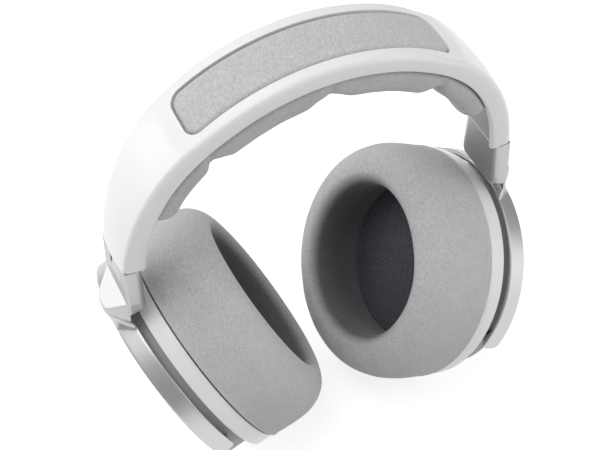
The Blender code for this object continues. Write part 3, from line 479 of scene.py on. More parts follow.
def cover_cloth():
    """Charcoal acoustic cloth: an open weave, seen as light and dark flecks.

    The real weave is about 0.3 mm; its flecks are drawn at 0.7 mm, as coarse as they need to show.
    """
    finishes = bpy.context.scene.headset_finishes
    material, tree, shader = new_finish("acoustic_cloth", Roughness=0.95,
                                        Specular_IOR_Level=0.2)
    fleck = fine_grain(tree, shader, 0.7 * MM, 0.6, 0.15 * MM, in_Detail=3.0, in_Roughness=0.7)
    tone = add_node(tree, "ShaderNodeMapRange", [("Value", fleck.outputs["Fac"])],
                    in_1=0.3, in_2=0.72, in_3=0.55, in_4=1.7)
    dyed = add_node(tree, "ShaderNodeVectorMath", [("Scale", tone.outputs[0])],
                    operation='SCALE', in_0=linear(finishes.cover_colour)[:3])
    tree.links.new(dyed.outputs[0], shader.inputs["Base Color"])
    return material


def metal(name, colour_field, roughness, spacing):
    """A metal whose roughness and surface vary with a fine grain."""
    base = linear(getattr(bpy.context.scene.headset_finishes, colour_field))
    material, tree, shader = new_finish(name, Base_Color=base, Metallic=1.0)
    grain = fine_grain(tree, shader, spacing, 0.1, 0.03 * MM, in_Detail=2.0)
    rough = add_node(tree, "ShaderNodeMapRange", [("Value", grain.outputs["Fac"])],
                     in_1=0.3, in_2=0.7, in_3=roughness - 0.04, in_4=roughness + 0.04)
    tree.links.new(rough.outputs[0], shader.inputs["Roughness"])
    return material


def plastic(name, colour_field, roughness):
    """Moulded plastic with a fine spark-eroded grain."""
    base = linear(getattr(bpy.context.scene.headset_finishes, colour_field))
    material, tree, shader = new_finish(name, Base_Color=base, Roughness=roughness)
    fine_grain(tree, shader, 0.3 * MM, 0.2, 0.05 * MM, in_Detail=2.0)
    return material


FINISHES = {                # finish: the record's slot, its maker and the maker's values
    "white": ("white_shell", moulded_white),
    "knit": ("grey_fabric", knit),
    "cover": ("charcoal_fabric", cover_cloth),
    # bead-blasted, clear-anodised aluminium: silver, with wide soft reflections
    "band": ("satin_aluminium", metal, "blasted_aluminium", "band_colour", 0.36, 0.25 * MM),
    # die-cast metal in grey paint: a duller and slightly darker satin
    "arm": ("grey_metal", metal, "cast_metallic_grey", "arm_colour", 0.40, 0.30 * MM),
    # turned and rolled steel
    "steel": ("steel", metal, "turned_steel", "steel_colour", 0.28, 0.2 * MM),
    # moulded ABS, and the glass-filled nylon of the inner frames
    "mid": ("grey_plastic", plastic, "moulded_mid_grey", "housing_colour", 0.5),
    "dark": ("dark_plastic", plastic, "moulded_dark_grey", "frame_colour", 0.5),
    # lacquer over the copper of a printed board
    "green": ("board_green", plastic, "solder_mask", "board_colour", 0.35),
}
MADE = {}


def made_once(finish):
    """The material of a finish, made when it is first asked for."""
    if finish not in MADE:
        _, make, *values = FINISHES[finish]
        MADE[finish] = make(*values)
    return MADE[finish]


# --- the arch ---
ARCH_SAMPLES = 400


def arch_table():
    """Arc length, point and outward normal along the right half of the outer arch."""
    sizes = bpy.context.scene.headband_sizes
    top = Vector((0.0, ARCH_TOP))
    end = Vector((HALF_SPAN, SHELL_END))
    up = Vector((-math.sin(sizes.end_lean), math.cos(sizes.end_lean)))
    points = interpolate_bezier(top, top + Vector((sizes.crown_handle, 0.0)),
                                end + sizes.side_handle * up, end, ARCH_SAMPLES + 1)
    points = [Vector(p[:2]) for p in points]
    table = []
    run = 0.0
    for k, point in enumerate(points):
        before = points[max(k - 1, 0)]
        after = points[min(k + 1, ARCH_SAMPLES)]
        along = (after - before).normalized()
        if k == 0:
            along = Vector((1.0, 0.0))
        run += (point - before).length
        table.append((run, point, Vector((-along.y, along.x))))
    return table


class Arch:
    """The headband's centre line, measured along its outer face from the crown."""

    def __init__(self):
        self.table = arch_table()
        self.length = self.table[-1][0]
        self.sizes = bpy.context.scene.headband_sizes

    def place(self, s, y, depth):
        """The point at an arc length, a place across the arch and a depth under its face."""
        wanted = min(abs(s), self.length)
        k = 1
        step = len(self.table) // 2
        while step:
            while k + step < len(self.table) and self.table[k + step][0] < wanted:
                k += step
            step //= 2
        while k < len(self.table) - 1 and self.table[k][0] < wanted:
            k += 1
        (s0, p0, n0), (s1, p1, n1) = self.table[k - 1], self.table[k]
        u = (wanted - s0) / (s1 - s0)
        point = p0.lerp(p1, u) - depth * n0.lerp(n1, u).normalized()
        return Vector((math.copysign(point.x, s) if s else 0.0, y, point.y))

    def half_width(self, s):
        """Half width of the shell: even over the crown, then narrowing to its ends."""
        even = 0.35
        share = max(0.0, abs(s) / self.length - even) / (1 - even)
        return self.sizes.half_top + (self.sizes.half_end - self.sizes.half_top) * share ** 1.2

    def face_drop(self, s, y):
        """Drop of the crowned face from its middle."""
        return self.sizes.crown * (y / self.half_width(s)) ** 2

    def insert_half_width(self, s, offset=0.0):
        """Half width of the insert's rounded outline, or of one a little larger."""
        corner = self.sizes.insert_corner + offset
        over = abs(s) - (self.sizes.insert_half - self.sizes.insert_corner)
        base = self.sizes.insert_width + offset
        if over > 0:
            base -= corner - math.sqrt(max(0.0, corner ** 2 - over ** 2))
        return base

    def insert_stations(self, offset=0.0):
        """Arc lengths along that outline, close together round its corners."""
        corner = self.sizes.insert_corner + offset
        straight = self.sizes.insert_half - self.sizes.insert_corner
        return both_ways(spaced(0.0, straight, 30)[:-1] + eased(straight, straight + corner))

    def outside_insert(self, s, y):
        """Distance outside the insert's rounded rectangle, less than zero inside it."""
        corner = self.sizes.insert_corner
        dx = abs(s) - (self.sizes.insert_half - corner)
        dy = abs(y) - (self.sizes.insert_width - corner)
        outside = math.hypot(max(dx, 0.0), max(dy, 0.0))
        return outside + min(max(dx, dy), 0.0) - corner


def swept(name, arch, stations, section, smooth_angle=None):
    """A closed skin along the arch; section(s) gives its outline as (Y, depth) points."""
    rings = [[arch.place(s, y, d) for y, d in section(s)] for s in stations]
    return lofted(name, rings, smooth_angle)


# --- headband ---
def shell_stations(arch):
    """Arc lengths for the shell: close together where the recess ends."""
    end = arch.sizes.insert_half
    return both_ways(spaced(0.0, end - 6 * MM, 30)
                     + spaced(end - 4.8 * MM, end + 12 * MM, 20)
                     + spaced(end + 14 * MM, arch.length, 26))


INSERT_CLEARANCE = 0.45 * MM


def recess_tool(arch):
    """The space of the insert's recess: its outline, larger by the clearance."""
    sizes = arch.sizes
    floor = sizes.dish + sizes.recess
    above, narrowest = -2.0 * MM, 0.4 * MM

    def section(s):
        w = max(arch.insert_half_width(s, INSERT_CLEARANCE), narrowest)
        across = [w * share for share in spaced(-1.0, 1.0, 15)]
        return ([(y, above) for y in across]
                + [(y, floor + arch.face_drop(s, y)) for y in reversed(across)])

    return swept("recess", arch, arch.insert_stations(INSERT_CLEARANCE), section)


def make_shell(name):
    """Crowned channel section along the arch, with the insert's recess and dished rim."""
    arch = Arch()
    sizes = arch.sizes
    edge = sizes.edge
    lip_radius = 0.45 * MM
    wall = 1.7 * MM
    ceiling = 4.4 * MM

    def face_depth(s, y):
        gap = arch.outside_insert(s, y) - INSERT_CLEARANCE
        dish = sizes.dish * (1 - smoothstep(gap / sizes.dish_reach))
        return arch.face_drop(s, y) + dish

    def side_depth(s):
        share = smoothstep((abs(s) - sizes.insert_half) / (arch.length - sizes.insert_half))
        return sizes.depth + (sizes.end_depth - sizes.depth) * share

    def section(s):
        w = arch.half_width(s)
        flat = w - edge
        half = [(y, face_depth(s, y)) for y in spaced(0.0, flat, 13)[1:-1]]
        start = face_depth(s, flat)
        for degrees in range(0, 91, 10):
            a = math.radians(degrees)
            half.append((flat + edge * math.sin(a),
                         start + (edge + 0.3 * MM) * (1 - math.cos(a))))
        bottom = side_depth(s)
        lip = lip_radius + 0.6 * (bottom - sizes.depth)
        inner = w - wall
        for degrees in (0, 30, 60, 90):
            a = math.radians(degrees)
            half.append((w - lip + lip * math.cos(a), bottom - lip + lip * math.sin(a)))
        under = min(w - lip, inner)
        half += [(under - 0.1 * MM, bottom), (under - 0.3 * MM, bottom - 0.3 * MM),
                 (inner - 0.3 * MM, ceiling + 0.8 * MM), (inner - 1.0 * MM, ceiling)]
        return ([(0.0, face_depth(s, 0.0))] + half + [(0.0, ceiling)]
                + [(-y, d) for y, d in reversed(half)])

    shell = carved(swept(name, arch, shell_stations(arch), section), recess_tool(arch))
    shade(shell.data, 50)
    return shell


def make_insert(name):
    """Fabric strip over a thin foam: its edges roll down into the recess."""
    arch = Arch()
    sizes = arch.sizes
    roll, drop = 1.9 * MM, 2.1 * MM
    shadow_start, shadow_reach = 0.5 * MM, 1.2 * MM
    shares = [math.sin(math.radians(a)) for a in range(-90, 91, 6)]

    def section(s):
        w = arch.insert_half_width(s)
        top = []
        for share in shares:
            y = w * share
            inside = max(0.0, min(w - abs(y), -arch.outside_insert(s, y)))
            rounded_edge = 0.0 if inside >= roll else 1 - math.sqrt(
                max(0.0, 1 - (1 - inside / roll) ** 2))
            top.append((y, sizes.dish + rounded_edge * drop + arch.face_drop(s, y)))
        return top + [(y, sizes.dish + drop + 0.15 * MM + arch.face_drop(s, y))
                      for y, _ in reversed(top)]

    stations = arch.insert_stations()
    # Painted shadow: the knit darkens where its edges roll down into the recess, in place of the shade in the gap
    # round the insert
    sunk = [d - arch.face_drop(s, y) - sizes.dish for s in stations for y, d in section(s)]
    shadow = [smoothstep((down - shadow_start) / shadow_reach) for down in sunk]
    insert = swept(name, arch, stations, section)
    painted_shade = insert.data.attributes.new("painted_shade", 'FLOAT', 'POINT')
    painted_shade.data.foreach_set("value", shadow)
    return insert


def make_liner(name):
    """Thin strip that closes the shell from below, a little inside its edges."""
    arch = Arch()
    inset, top, bottom = 2.0 * MM, 6.2 * MM, 7.8 * MM

    def section(s):
        w = arch.half_width(s) - inset
        return rounded([(-w, top), (w, top), (w, bottom), (-w, bottom)], 0.4 * MM, 3)

    return swept(name, arch, spaced(-arch.length, arch.length, 121), section, 50)


def make_cushion(name):
    """Foam cushion in knit: flat-bottomed lobes between sewn channels, rounded tips."""
    arch = Arch()
    sizes = arch.sizes
    end = arch.length - sizes.cushion_stop
    outer = sizes.cushion_channel
    reaches = {-outer: 5.5 * MM, 0.0: 8.0 * MM, outer: 5.5 * MM}      # channel: its half width
    channel_depth = 3.6 * MM
    seam_width = 2.4 * MM
    top = 8.1 * MM
    points_round = 48

    def past_nose(s):
        """How far into its rounded tip a place lies, from 0 to 1."""
        return max(0.0, abs(s) - end + sizes.cushion_nose) / sizes.cushion_nose

    def depth(s):
        beyond = smoothstep((abs(s) - outer + 3 * MM) / (6 * MM))
        base = sizes.cushion_depth + (sizes.cushion_end_depth - sizes.cushion_depth) * beyond
        for channel, reach in reaches.items():
            base -= channel_depth * math.exp(-abs((s - channel) / reach) ** 3.0)
        return top + (base - top) * max(0.08, math.sqrt(max(0.0, 1 - past_nose(s) ** 2.2)))

    def section(s):
        w = arch.half_width(s) - 0.7 * MM
        pinch = sum(math.exp(-((s - channel) / seam_width) ** 2) for channel in reaches)
        w -= 0.8 * MM * pinch + 3.0 * MM * past_nose(s) ** 3
        deep = depth(s) - top
        points = []
        for k in range(points_round):
            a = math.tau * k / points_round
            c, d = math.cos(a), math.sin(a)
            y = math.copysign(abs(c) ** 0.55, c) * w
            z = math.copysign(abs(d) ** 0.62, d)
            points.append((y, top + deep * (0.30 + (0.70 if z > 0 else 0.30) * z)))
        return points

    nose = end - sizes.cushion_nose
    rings = []
    for s in both_ways(spaced(0.0, nose, 130)[:-1] + eased(nose, end)):
        ring = []
        near = min(abs(s - channel) for channel in reaches)
        fold = math.exp(-(near / (8 * MM)) ** 2)
        for y, d in section(s):
            swell = noise.noise(Vector((s / (5 * MM), y / (4 * MM), d / (6 * MM))))
            ring.append(arch.place(s, y, d + swell * 0.4 * MM * (0.3 + fold)))
        rings.append(ring)
    return lofted(name, rings)


# --- cup ---
def make_ring(name):
    """White ring: a band with small radii and the shoulder that clamps the baffle."""
    cups = bpy.context.scene.headset_cups
    bore = RING_RADIUS - 2.3 * MM
    neck = HOUSING_RADIUS - 1.0 * MM
    front, back = 0.15 * MM, cups.ring_depth
    shoulder = back - 2.4 * MM
    outline = [(bore, front, 0.2 * MM), (RING_RADIUS, front, 0.25 * MM), (RING_RADIUS, back),
               (neck, back), (neck, shoulder, 0.0), (bore, shoulder, 0.0)]
    return turned(name, rounded(outline, 0.7 * MM), 160)


def make_housing(name):
    """Rear housing: a short drum with a stepped shoulder and a rounded outer rim."""
    cups = bpy.context.scene.headset_cups
    back = cups.band_front + cups.band_width + 0.5 * MM
    neck = HOUSING_RADIUS - 1.3 * MM
    step = cups.ring_depth + 0.3 * MM
    inner = HOUSING_RADIUS - 3.7 * MM
    seat = HOUSING_RADIUS - 2.3 * MM                                  # where the grille lies
    front, ledge = 4.6 * MM, back - 1.5 * MM
    outline = [(neck, front, 0.0), (neck, step, 0.0), (HOUSING_RADIUS, step),
               (HOUSING_RADIUS, back, 0.9 * MM), (seat, back, 0.3 * MM),
               (seat, ledge, 0.0), (inner, ledge, 0.0), (inner, front, 0.0)]
    return turned(name, rounded(outline, 0.5 * MM), 144)


def make_ear_pad(name):
    """Foam ear pad in knit: full outside, crowned towards the head, tight round the ear."""
    cups = bpy.context.scene.headset_cups
    base = -0.35 * MM
    depth = cups.pad_depth + base
    crown = -cups.pad_depth
    side, hole = PAD_RADIUS, cups.pad_hole
    outline = [
        (COVER_RADIUS + 1.4 * MM, base), (RING_RADIUS - 0.5 * MM, base),
        (side - 0.5 * MM, base - depth * 0.08), (side, base - depth * 0.36),
        (side - 0.6 * MM, base - depth * 0.62), (side - 3.0 * MM, base - depth * 0.82),
        (side - 7.0 * MM, base - depth * 0.95), (side - 11.8 * MM, crown),
        (hole + 3.0 * MM, crown + 0.8 * MM), (hole + 0.5 * MM, crown + 4.0 * MM),
        (hole, crown + 10.0 * MM), (hole + 1.4 * MM, base - depth * 0.33),
    ]
    fine = [(r, min(z, base)) for r, z in smooth_loop(outline, 72)]
    obj = turned(name, fine, 160)
    # Painted shade: the knit darkens on the inner wall of the ear opening, from its crown down, where shade falls
    painted_shade = obj.data.attributes.new("painted_shade", 'FLOAT', 'POINT')
    for vert in obj.data.vertices:
        x, y, z = vert.co
        inside = 1 - smoothstep((math.hypot(x, y) - hole - 2.4 * MM) / (4.6 * MM))
        sunk = smoothstep((z - crown + 0.8 * MM) / (5.0 * MM))
        painted_shade.data[vert.index].value = inside * sunk
        away = min(1.0, max(0.0, (base - z) / (6 * MM)))
        swell = noise.noise(Vector((x, y, z)) / (26 * MM))
        ripple = noise.noise(Vector((x, y, z)) / (8 * MM) + Vector((7, 3, 1)))
        radial = Vector((x, y, 0.0)).normalized()
        vert.co += radial * (swell * 0.5 + ripple * 0.12) * MM * away
    return obj


def make_cover(name):
    """Cloth stretched over the driver's guard: a flat disc, rolled over at its edge."""
    cups = bpy.context.scene.headset_cups
    front = -cups.cover_inset
    edge = COVER_RADIUS
    profile = [(0.0, front - 0.15 * MM), (edge * 0.5, front - 0.12 * MM),
               (edge - 1.2 * MM, front), (edge - 0.4 * MM, front + 0.15 * MM),
               (edge, front + 0.5 * MM), (edge, front + 0.8 * MM), (0.0, front + 0.8 * MM)]
    return turned(name, profile, 96, 60)


# --- yoke and arm ---
def spread(corners, counts):
    """A closed outline with a number of evenly spaced points on each of its sides."""
    outline = []
    for k, count in enumerate(counts):
        here, after = Vector(corners[k]), Vector(corners[(k + 1) % len(corners)])
        outline += [tuple(here.lerp(after, i / count)) for i in range(count)]
    return outline


HINGE_COUNTS = (12, 6, 2, 2, 4, 2, 2, 6)       # points on each side of the hinge's plan
HINGE_DIAGONAL = 8.45 * MM                      # swivel axis to where its two cuts would meet


def hinge_plan(root, tip):
    """Plan of the hinge as (X, Y): flat inside, cut at 45 degrees outside, with a round nose."""
    diagonal = SWIVEL_POINT.x + HINGE_DIAGONAL
    nose = diagonal - tip
    half = [(root, diagonal - root), (tip - 1.9 * MM, nose + 1.9 * MM),
            (tip - 0.7 * MM, nose + 0.3 * MM), (tip, nose - 1.7 * MM)]
    other_half = [(x, -y) for x, y in reversed(half)]
    return spread(other_half[-1:] + half + other_half[:-1], HINGE_COUNTS)


def make_yoke(name):
    """C-shaped band with its neck, cast in one; its rounded tips end just past the pivots."""
    cups = bpy.context.scene.headset_cups
    front, width = cups.band_front, cups.band_width
    back = front + width
    half_arc = math.radians(94.5)
    inner = BAND_RADIUS - cups.band_wall
    tip_corner = 2.4 * MM
    boss_radius = 3.4 * MM

    def band_ring(angle):
        short = max(0.0, tip_corner - (half_arc - abs(angle)) * BAND_RADIUS)
        inset = tip_corner - math.sqrt(tip_corner ** 2 - short ** 2)
        outline = rounded([(inner, front + inset), (BAND_RADIUS, front + inset),
                           (BAND_RADIUS, back - inset), (inner, back - inset)], 0.5 * MM, 3)
        return [(r * math.sin(angle), r * math.cos(angle), z) for r, z in outline]

    angles = both_ways(spaced(0.0, half_arc - 0.06, 80) + spaced(half_arc - 0.052, half_arc, 14))
    band = lofted(name, [band_ring(angle) for angle in angles])

    to_cup = cup_frame().inverted()
    root = SWIVEL_POINT.x - 2.7 * MM
    top = SWIVEL_POINT.z - 0.3 * MM
    foot_radius = BAND_RADIUS - 0.4 * MM
    plan = hinge_plan(root, SWIVEL_POINT.x + 4.4 * MM)
    front_half, back_half = 13.5 * MM, 21.0 * MM
    foot_plan = spread([(0.0, -front_half), (0.0, front_half), (0.35, 15.5 * MM),
                        (0.8, 19.0 * MM), (1.0, back_half - 2 * MM), (1.0, -back_half + 2 * MM),
                        (0.8, -19.0 * MM), (0.35, -15.5 * MM)], HINGE_COUNTS)
    rings = []
    for share in spaced(0.0, 1.0, 15):
        ring = []
        for (out, foot_y), (x, y) in zip(foot_plan, plan):
            foot = Vector((foot_y, math.sqrt(foot_radius ** 2 - foot_y ** 2),
                           front + 0.2 * MM + (width - 0.4 * MM) * out))
            head = to_cup @ Vector((x, 0.0, top))
            ring.append((y + (foot_y - y) * (1 - share) ** 2.5,
                         foot.y + (head.y - foot.y) * share, foot.z + (head.z - foot.z) * share))
        rings.append(ring)
    neck = lofted(name + "_neck", rings)
    room = tool_rod(name + "_room", inner - 0.2 * MM, (0, 0, front - 4 * MM),
                    (0, 0, back + 4 * MM), 160)
    operations = [('UNION', neck), ('DIFFERENCE', room)]
    boss_face = HOUSING_RADIUS + 1.2 * MM
    middle = front + width / 2
    for side in (-1, 1):
        boss = tool_rod("boss", boss_radius, (side * boss_face, 0, middle),
                        (side * (BAND_RADIUS - 1 * MM), 0, middle))
        operations.append(('UNION', boss))
    cast(band, operations, 0.30 * MM, 5)
    band.matrix_world = cup_frame()
    return band


def make_arm(name):
    """Slider arm: a cast plate with a channel outside and the hinge block at its foot."""
    plate = 7.1 * MM
    outer = SWIVEL_POINT.x - 2.6 * MM
    inner = outer - plate
    joint_z = SWIVEL_POINT.z
    lean = bpy.context.scene.headband_sizes.end_lean
    channel_width, channel_depth = 9.6 * MM, 0.8 * MM
    hinge_height = 9.8 * MM

    def plate_ring(half, z_in, z_out):
        outline = rounded([(outer, half, 1.0 * MM), (inner, half, 3.4 * MM),
                           (inner, -half, 3.4 * MM), (outer, -half, 1.0 * MM)], 1 * MM, 8)
        return [(x, y, z_out + (z_in - z_out) * (outer - x) / (outer - inner))
                for x, y in outline]

    top_out = SHELL_END - 0.3 * MM - (HALF_SPAN - outer) * math.tan(lean)
    top_in = top_out - (outer - inner) * math.tan(lean)
    body = lofted(name, [                  # foot, its rounding, waist and top
        plate_ring(11.8 * MM, joint_z + 6.0 * MM, joint_z + 3.6 * MM),
        plate_ring(12.5 * MM, joint_z + 7.4 * MM, joint_z + 5.0 * MM),
        plate_ring(12.7 * MM, joint_z + 9.6 * MM, joint_z + 11.5 * MM),
        plate_ring(11.7 * MM, top_in, top_out)])

    plan = hinge_plan(outer - 0.5 * MM, HINGE_OUT)
    facet = joint_z + hinge_height + outer
    hinge = lofted(name + "_hinge", [[(x, y, joint_z) for x, y in plan],
                                     [(x, y, facet - x) for x, y in plan]])
    lean_slider = math.asin(SLIDE_DOWN.x)
    slider = (Matrix.Translation((HALF_SPAN - 3.7 * MM, 0.0, SHELL_END))
              @ Matrix.Rotation(-lean_slider, 4, 'Y'))
    channel_length = (SHELL_END - joint_z - 16.8 * MM) / math.cos(lean_slider)
    room = 8 * MM
    channel = tool_box(name + "_channel", (room, channel_width, channel_length * 2),
                       slider @ Matrix.Translation((room / 2 - channel_depth, 0, 0)))
    return cast(body, [('UNION', hinge), ('DIFFERENCE', channel)], 0.20 * MM, 3)


def make_jack_block(name):
    """Foot block between the yoke's tips: a narrow flat foot on a lower arc."""
    cups = bpy.context.scene.headset_cups
    edge = math.radians(34.0) - 0.6 / 47.5        # a 0.6 mm gap to where the solid yoke ends
    inner = HOUSING_RADIUS + 0.3 * MM
    low_arc = HOUSING_RADIUS + 1.6 * MM
    foot = RING_RADIUS - 1.3 * MM
    foot_half = 5.5 * MM
    socket_radius = 3.5 * MM
    arc = [(low_arc * math.sin(a), -low_arc * math.cos(a)) for a in spaced(-edge, -0.2, 12)]
    outline = arc + [(-foot_half, -foot + 0.6 * MM), (-foot_half + 1 * MM, -foot),
                     (foot_half - 1 * MM, -foot), (foot_half, -foot + 0.6 * MM)]
    outline += [(-x, y) for x, y in reversed(arc)]
    outline += [(inner * math.sin(a), -inner * math.cos(a)) for a in spaced(edge, -edge, 24)]
    back = cups.band_front + cups.band_width
    front = cups.ring_depth + 0.3 * MM
    block = lofted(name, [[(x, y, z) for x, y in outline] for z in (front, back)])
    middle = (cups.ring_depth + back) / 2
    carved(block, tool_rod(name + "_hole", socket_radius, (0, -RING_RADIUS - 2 * MM, middle),
                           (0, -HOUSING_RADIUS + 2 * MM, middle)))
    bevel = block.modifiers.new("edge", 'BEVEL')
    bevel.width = 0.35 * MM
    bevel.segments = 3
    bevel.limit_method = 'ANGLE'
    bevel.angle_limit = math.radians(50)
    applied(block)
    shade(block.data, 40)
    block.matrix_world = cup_frame()
    return block


def make_grille(name):
    """Domed sheet with rings of slots, thickened."""
    cups = bpy.context.scene.headset_cups
    hub = 9.0 * MM
    rim = HOUSING_RADIUS - 2.6 * MM
    top = cups.band_front + cups.band_width + 0.5 * MM
    rise = 1.7 * MM
    rows, sectors = 17, 96
    bm = bmesh.new()
    spoke = [bm.verts.new((hub + (rim - hub) * share, 0.0, top + rise * (1 - share ** 2)))
             for share in spaced(0.0, 1.0, rows + 1)]
    edges = [bm.edges.new(pair) for pair in zip(spoke, spoke[1:])]
    bmesh.ops.spin(bm, geom=spoke + edges, cent=(0, 0, 0), axis=(0, 0, 1), angle=math.tau,
                   steps=sectors, use_merge=True)
    slots = []
    for face in bm.faces:
        x, y, _ = face.calc_center_median()
        row = int((math.hypot(x, y) - hub) / (rim - hub) * rows)
        sector = int(math.atan2(y, x) % math.tau / math.tau * sectors)
        if row % 2 and (sector + row // 2 * 2) % 4 < 2:
            slots.append(face)
    bmesh.ops.delete(bm, geom=slots, context='FACES')
    hub_edges = [e for e in bm.edges
                 if all(math.hypot(*v.co[:2]) < hub + 0.1 * MM for v in e.verts)]
    bmesh.ops.contextual_create(bm, geom=hub_edges)
    bmesh.ops.recalc_face_normals(bm, faces=bm.faces)
    obj = mesh_object(name, bm)
    if sum(face.normal.z for face in obj.data.polygons) < 0:
        obj.data.flip_normals()
    solidify = obj.modifiers.new("thickness", 'SOLIDIFY')
    solidify.thickness = 1.2 * MM
    solidify.offset = -1.0
    obj.matrix_world = cup_frame()
    applied(obj)
    shade(obj.data, 35)
    return obj


# --- operators ---
class HEADSET_OT_headband(bpy.types.Operator):
    """Make the white shell, its fabric insert and the liner below it"""
    bl_idname = "headset.headband"
    bl_label = "Headband shell"

    def execute(self, context):
        on_headband("headband_shell", make_shell, "white")
        on_headband("top_insert", make_insert, "knit")
        on_headband("headband_liner", make_liner, "mid")
        return {'FINISHED'}


class HEADSET_OT_cushion(bpy.types.Operator):
    """Make the head cushion with its sewn channels"""
    bl_idname = "headset.cushion"
    bl_label = "Head cushion"

    def execute(self, context):
        on_headband("head_cushion", make_cushion, "knit")
        return {'FINISHED'}


class HEADSET_OT_pads(bpy.types.Operator):
    """Make both ear pads and the cloth covers of the drivers"""
    bl_idname = "headset.pads"
    bl_label = "Ear pads"

    def execute(self, context):
        both_sides("ear_pad", make_ear_pad, "ear_cup", "knit")
        both_sides("driver_cover", make_cover, "ear_cup", "cover")
        return {'FINISHED'}


class HEADSET_OT_cups(bpy.types.Operator):
    """Make the white rings, rear housings, grilles and jack blocks"""
    bl_idname = "headset.cups"
    bl_label = "Ear cups"

    def execute(self, context):
        both_sides("cup_ring", make_ring, "ear_cup", "white")
        both_sides("rear_housing", make_housing, "ear_cup", "mid")
        both_sides("grille", make_grille, "ear_cup", "arm")
        both_sides("jack_block", make_jack_block, "ear_cup", "mid")
        return {'FINISHED'}


class HEADSET_OT_yokes(bpy.types.Operator):
    """Make the metal yokes and the slider arms"""
    bl_idname = "headset.yokes"
    bl_label = "Yokes and arms"

    def execute(self, context):
        both_sides("yoke", make_yoke, "yoke_frame", "band")
        both_sides("arm", make_arm, "slider_arm", "arm")
        return {'FINISHED'}


class HEADSET_OT_inner(bpy.types.Operator):
    """Give the pins, screws, drivers and boards their finishes"""
    bl_idname = "headset.inner"
    bl_label = "Inner parts"

    def execute(self, context):
        by_slot = {slot: finish for finish, (slot, *_) in FINISHES.items()}
        for part in FRAME["record"]["subparts"]:
            node = FRAME["nodes"].get(part["node"])
            if node is not None and not node.hide_render:
                for slot in node.material_slots:
                    slot.material = made_once(by_slot[part["material_slot"]])
        return {'FINISHED'}


class HEADSET_OT_stage(bpy.types.Operator):
    """Set the floor, the soft studio light and the camera"""
    bl_idname = "headset.stage"
    bl_label = "Stage"

    def execute(self, context):
        scene = context.scene
        scene.view_settings.view_transform = 'Standard'
        set_floor()
        set_world(scene)
        set_lamps()
        set_camera(scene)
        return {'FINISHED'}


# --- stage ---
def background_rays(tree):
    """One where a ray comes from the camera or is reflected or passed on, else zero."""
    path = add_node(tree, "ShaderNodeLightPath")
    first = add_node(tree, "ShaderNodeMath", [(0, path.outputs["Is Camera Ray"]),
                                              (1, path.outputs["Is Glossy Ray"])],
                     operation='ADD')
    return add_node(tree, "ShaderNodeMath", [(0, first.outputs[0]),
                                             (1, path.outputs["Is Transmission Ray"])],
                    operation='ADD', use_clamp=True)


def set_floor():
    bm = bmesh.new()
    bmesh.ops.create_grid(bm, x_segments=1, y_segments=1, size=6.0)
    floor = mesh_object("floor", bm)
    floor.location.z = FLOOR - 0.2 * MM
    material = bpy.data.materials.new("pale_floor")
    material.use_nodes = True
    tree = material.node_tree
    tree.nodes.clear()
    matt = add_node(tree, "ShaderNodeBsdfDiffuse", in_Color=linear("#CCCCCC"))
    glow = add_node(tree, "ShaderNodeEmission", in_Color=(1.0, 1.0, 1.0, 1.0))
    rays = background_rays(tree)
    strength = add_node(tree, "ShaderNodeMath", [(0, rays.outputs[0])], operation='MULTIPLY',
                        in_1=0.7)
    tree.links.new(strength.outputs[0], glow.inputs["Strength"])
    total = add_node(tree, "ShaderNodeAddShader", [(0, matt.outputs[0]), (1, glow.outputs[0])])
    add_node(tree, "ShaderNodeOutputMaterial", [("Surface", total.outputs[0])])
    floor.data.materials.append(material)


def set_world(scene):
    """White above, grey towards the horizon, so that metal gets its soft gradients."""
    world = bpy.data.worlds.new("studio")
    world.use_nodes = True
    scene.world = world
    tree = world.node_tree
    tree.nodes.clear()
    place = add_node(tree, "ShaderNodeTexCoord")
    split = add_node(tree, "ShaderNodeSeparateXYZ", [(0, place.outputs["Generated"])])
    level = add_node(tree, "ShaderNodeMapRange", [("Value", split.outputs["Z"])],
                     in_1=-0.1, in_2=0.9, in_3=0.24, in_4=0.64)
    path = add_node(tree, "ShaderNodeLightPath")
    white = add_node(tree, "ShaderNodeMix", [(0, path.outputs["Is Camera Ray"]),
                                             (2, level.outputs[0])], data_type='FLOAT', in_3=1.0)
    background = add_node(tree, "ShaderNodeBackground", [("Strength", white.outputs[0])],
                          in_Color=(1.0, 1.0, 1.0, 1.0))
    add_node(tree, "ShaderNodeOutputWorld", [("Surface", background.outputs[0])])


LAMPS = (                             # name, place, size, energy
    ("key", (-0.50, -0.10, 1.25), 0.7, 4.0),
    ("side", (-0.98, 0.72, 0.42), 0.7, 3.7),
    ("fill", (0.82, -0.68, 0.42), 0.8, 2.4),
    ("back", (-0.35, 0.90, 1.00), 0.8, 1.8),
)


LAMP_AIM = Vector((0.0, 0.0, 0.09))


def set_lamps():
    for name, place, size, energy in LAMPS:
        data = bpy.data.lights.new(name, 'AREA')
        data.shape = 'SQUARE'
        data.size = size
        data.energy = energy
        lamp = bpy.data.objects.new(name, data)
        lamp.location = place
        aim = LAMP_AIM - lamp.location
        lamp.rotation_euler = aim.to_track_quat('-Z', 'Y').to_euler()
        bpy.context.scene.collection.objects.link(lamp)


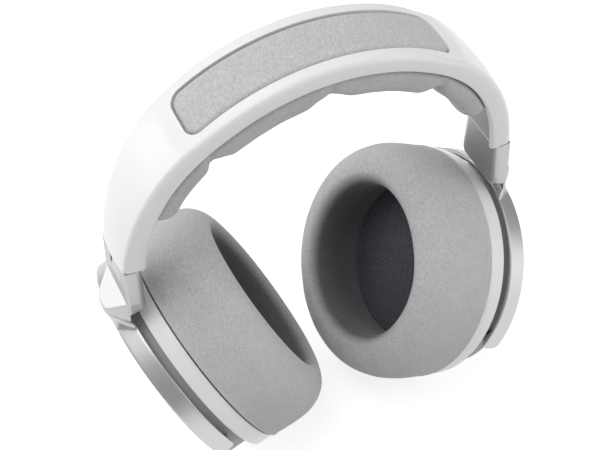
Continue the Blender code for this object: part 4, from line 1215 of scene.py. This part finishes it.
def set_camera(scene):
    """The photograph's view: from above and from the front left."""
    data = bpy.data.cameras.new("photo_camera")
    data.sensor_width = 36.0
    data.lens = 88.84
    camera = bpy.data.objects.new("photo_camera", data)
    right = Vector((0.90769139, -0.41963449, -0.00179765))
    down = Vector((-0.31611859, -0.68095122, -0.66058646))
    forward = Vector((0.27598075, 0.60017691, -0.75074782))
    turn = Matrix((right, -down, -forward)).transposed().to_4x4()
    turn.translation = Vector((-0.162281, -0.342086, 0.524245))
    camera.matrix_world = turn
    scene.collection.objects.link(camera)
    scene.camera = camera


# --- panel and registration ---
OPERATORS = (HEADSET_OT_stage, HEADSET_OT_pads, HEADSET_OT_cushion, HEADSET_OT_headband,
             HEADSET_OT_cups, HEADSET_OT_yokes, HEADSET_OT_inner)
GROUPS = (("headband_sizes", HeadbandSizes), ("headset_cups", CupSizes),
          ("headset_finishes", HeadsetFinishes))


class HEADSET_PT_panel(bpy.types.Panel):
    """Lists the pieces of the headset"""
    bl_label = "Headset"
    bl_idname = "HEADSET_PT_panel"
    bl_space_type = 'VIEW_3D'
    bl_region_type = 'UI'
    bl_category = "Headset"

    def draw(self, context):
        for operator in OPERATORS:
            self.layout.operator(operator.bl_idname)
        for name, group in GROUPS:
            settings = getattr(context.scene, name)
            box = self.layout.box()
            for field in group.__annotations__:
                box.prop(settings, field)


CLASSES = (*(group for _, group in GROUPS), *OPERATORS, HEADSET_PT_panel)


def register():
    for cls in CLASSES:
        bpy.utils.register_class(cls)
    for name, group in GROUPS:
        setattr(bpy.types.Scene, name, bpy.props.PointerProperty(type=group))


def unregister():
    for name, _ in GROUPS:
        delattr(bpy.types.Scene, name)
    for cls in reversed(CLASSES):
        bpy.utils.unregister_class(cls)


def main():
    register()
    bpy.ops.headset.stage()
    bpy.ops.headset.pads()
    bpy.ops.headset.cushion()
    bpy.ops.headset.headband()
    bpy.ops.headset.cups()
    bpy.ops.headset.yokes()
    bpy.ops.headset.inner()


if __name__ == "__main__":
    main()
